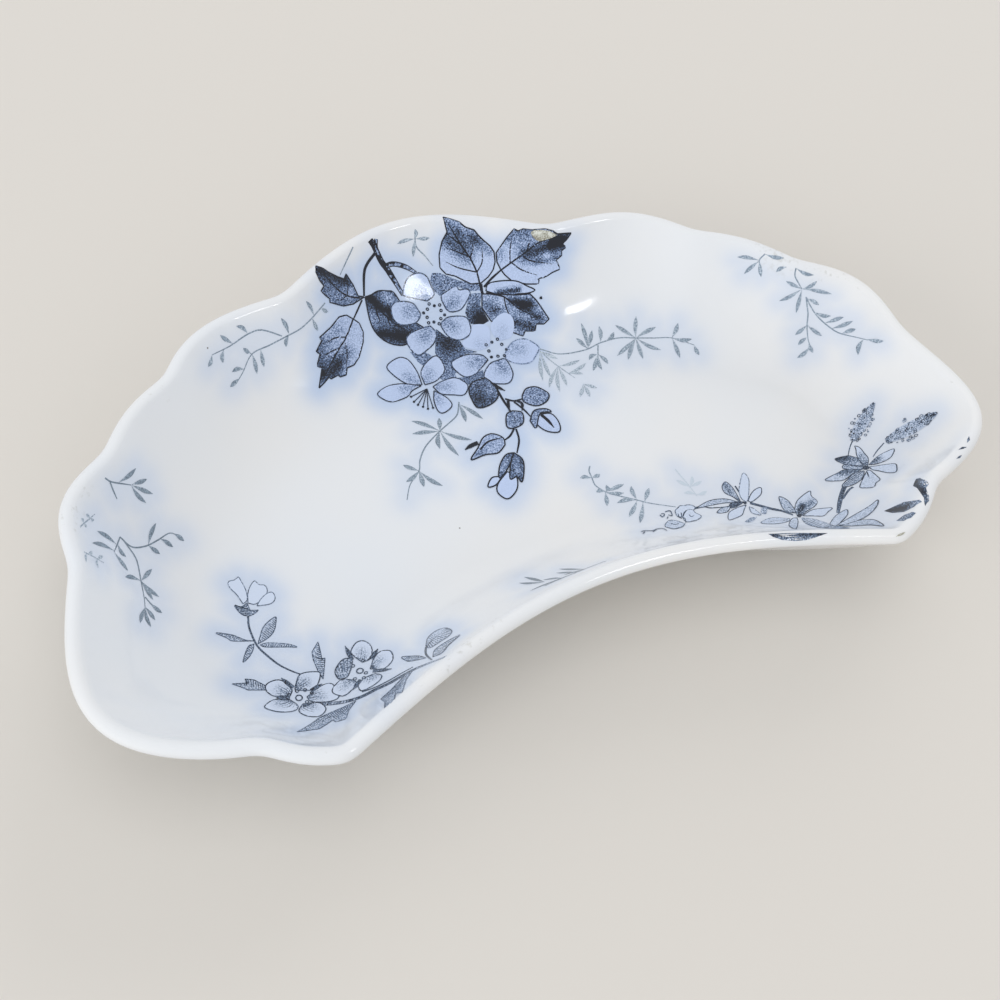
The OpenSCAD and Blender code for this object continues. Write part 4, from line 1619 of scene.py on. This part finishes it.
# Even light from all round, and roughness of the table
SKY_TINT, SKY_STRENGTH, TABLE_ROUGHNESS = (0.985, 0.985, 1.0), 0.75, 0.7


class DISH_OT_stage(bpy.types.Operator):
    """Pale table, soft studio lamps and the camera of the photograph"""
    bl_idname = "dish.stage"
    bl_label = "Stage"

    def add_lamp(self, context, name, place, aim, size, power, turn=0.0):
        """Elliptical lamp at one place that faces another, its long side turned by some degrees."""
        light = bpy.data.lights.new(name, "AREA")
        light.shape = "ELLIPSE"
        light.size, light.size_y = size
        light.energy = power
        lamp = bpy.data.objects.new(name, light)
        facing = (Vector(aim) - Vector(place)).to_track_quat("-Z", "Y").to_matrix().to_4x4()
        lamp.matrix_world = Matrix.Translation(place) @ facing @ Matrix.Rotation(math.radians(turn), 4, "Z")
        context.collection.objects.link(lamp)
        return lamp

    def execute(self, context):
        scene, size = context.scene, context.scene.stage_sizes
        scene.view_settings.view_transform = "Standard"
        lens = bpy.data.cameras.new("camera")
        lens.sensor_width = SENSOR
        lens.lens = size.lens
        lens.clip_start = 0.01
        camera = bpy.data.objects.new("camera", lens)
        camera.matrix_world = camera_place(size)
        context.collection.objects.link(camera)
        scene.camera = camera

        bm = bmesh.new()
        bmesh.ops.create_grid(bm, x_segments=1, y_segments=1, size=size.table / 2)
        mesh = bpy.data.meshes.new("table")
        bm.to_mesh(mesh)
        bm.free()
        table = bpy.data.objects.new("table", mesh)
        context.collection.objects.link(table)
        material, _, shader, _ = new_material("plain_table")
        shader.inputs["Base Color"].default_value = (*scene.dish_colours.table, 1)
        shader.inputs["Roughness"].default_value = TABLE_ROUGHNESS
        mesh.materials.append(material)

        world = bpy.data.worlds.new("studio")
        world.use_nodes = True
        sky = world.node_tree.nodes["Background"]
        sky.inputs["Color"].default_value = (*SKY_TINT, 1)
        sky.inputs["Strength"].default_value = SKY_STRENGTH
        scene.world = world
        for name, place, aim, width, power in SOFT_LAMPS:
            lamp = self.add_lamp(context, name, place, aim, (width, width), power)
            lamp.visible_glossy = False
        face = GlazedFace(context)
        for name, pixel, distance, long, wide, turn, power in GLINT_LAMPS:
            place, normal = face.at_pixel(pixel)
            way = (place - face.view.translation).normalized().reflect(normal)
            far = place + way * distance
            lamp = self.add_lamp(context, name, far, place, (long, wide), power, turn)
            lamp.visible_diffuse = False
        return {"FINISHED"}


class DISH_PT_panel(bpy.types.Panel):
    """Lists the dish's pieces and sizes"""
    bl_idname = "DISH_PT_panel"
    bl_label = "Bone dish"
    bl_space_type = "VIEW_3D"
    bl_region_type = "UI"
    bl_category = "Bone dish"

    def draw(self, context):
        for step in STEPS:
            self.layout.operator(step)
        for name in GROUPS:
            group = getattr(context.scene, name)
            box = self.layout.box()
            for key in group.__annotations__:
                box.prop(group, key)


GROUPS = {
    "dish_sizes": DishSizes, "dish_colours": DishColours,
    "print_sizes": PrintSizes, "stage_sizes": StageSizes,
}
OPERATORS = (
    DISH_OT_clay, DISH_OT_glaze, DISH_OT_back_spray, DISH_OT_side_sprays, DISH_OT_sprigs, DISH_OT_wear,
    DISH_OT_flow, DISH_OT_stage,
)
STEPS = tuple(operator.bl_idname for operator in OPERATORS)
CLASSES = (*GROUPS.values(), *OPERATORS, DISH_PT_panel)


def register():
    for cls in CLASSES:
        bpy.utils.register_class(cls)
    for name, group in GROUPS.items():
        setattr(bpy.types.Scene, name, bpy.props.PointerProperty(type=group))


def unregister():
    for name in GROUPS:
        delattr(bpy.types.Scene, name)
    for cls in reversed(CLASSES):
        bpy.utils.unregister_class(cls)


def main():
    register()
    for step in STEPS:
        group, name = step.split(".")
        getattr(getattr(bpy.ops, group), name)()


if __name__ == "__main__":
    main()
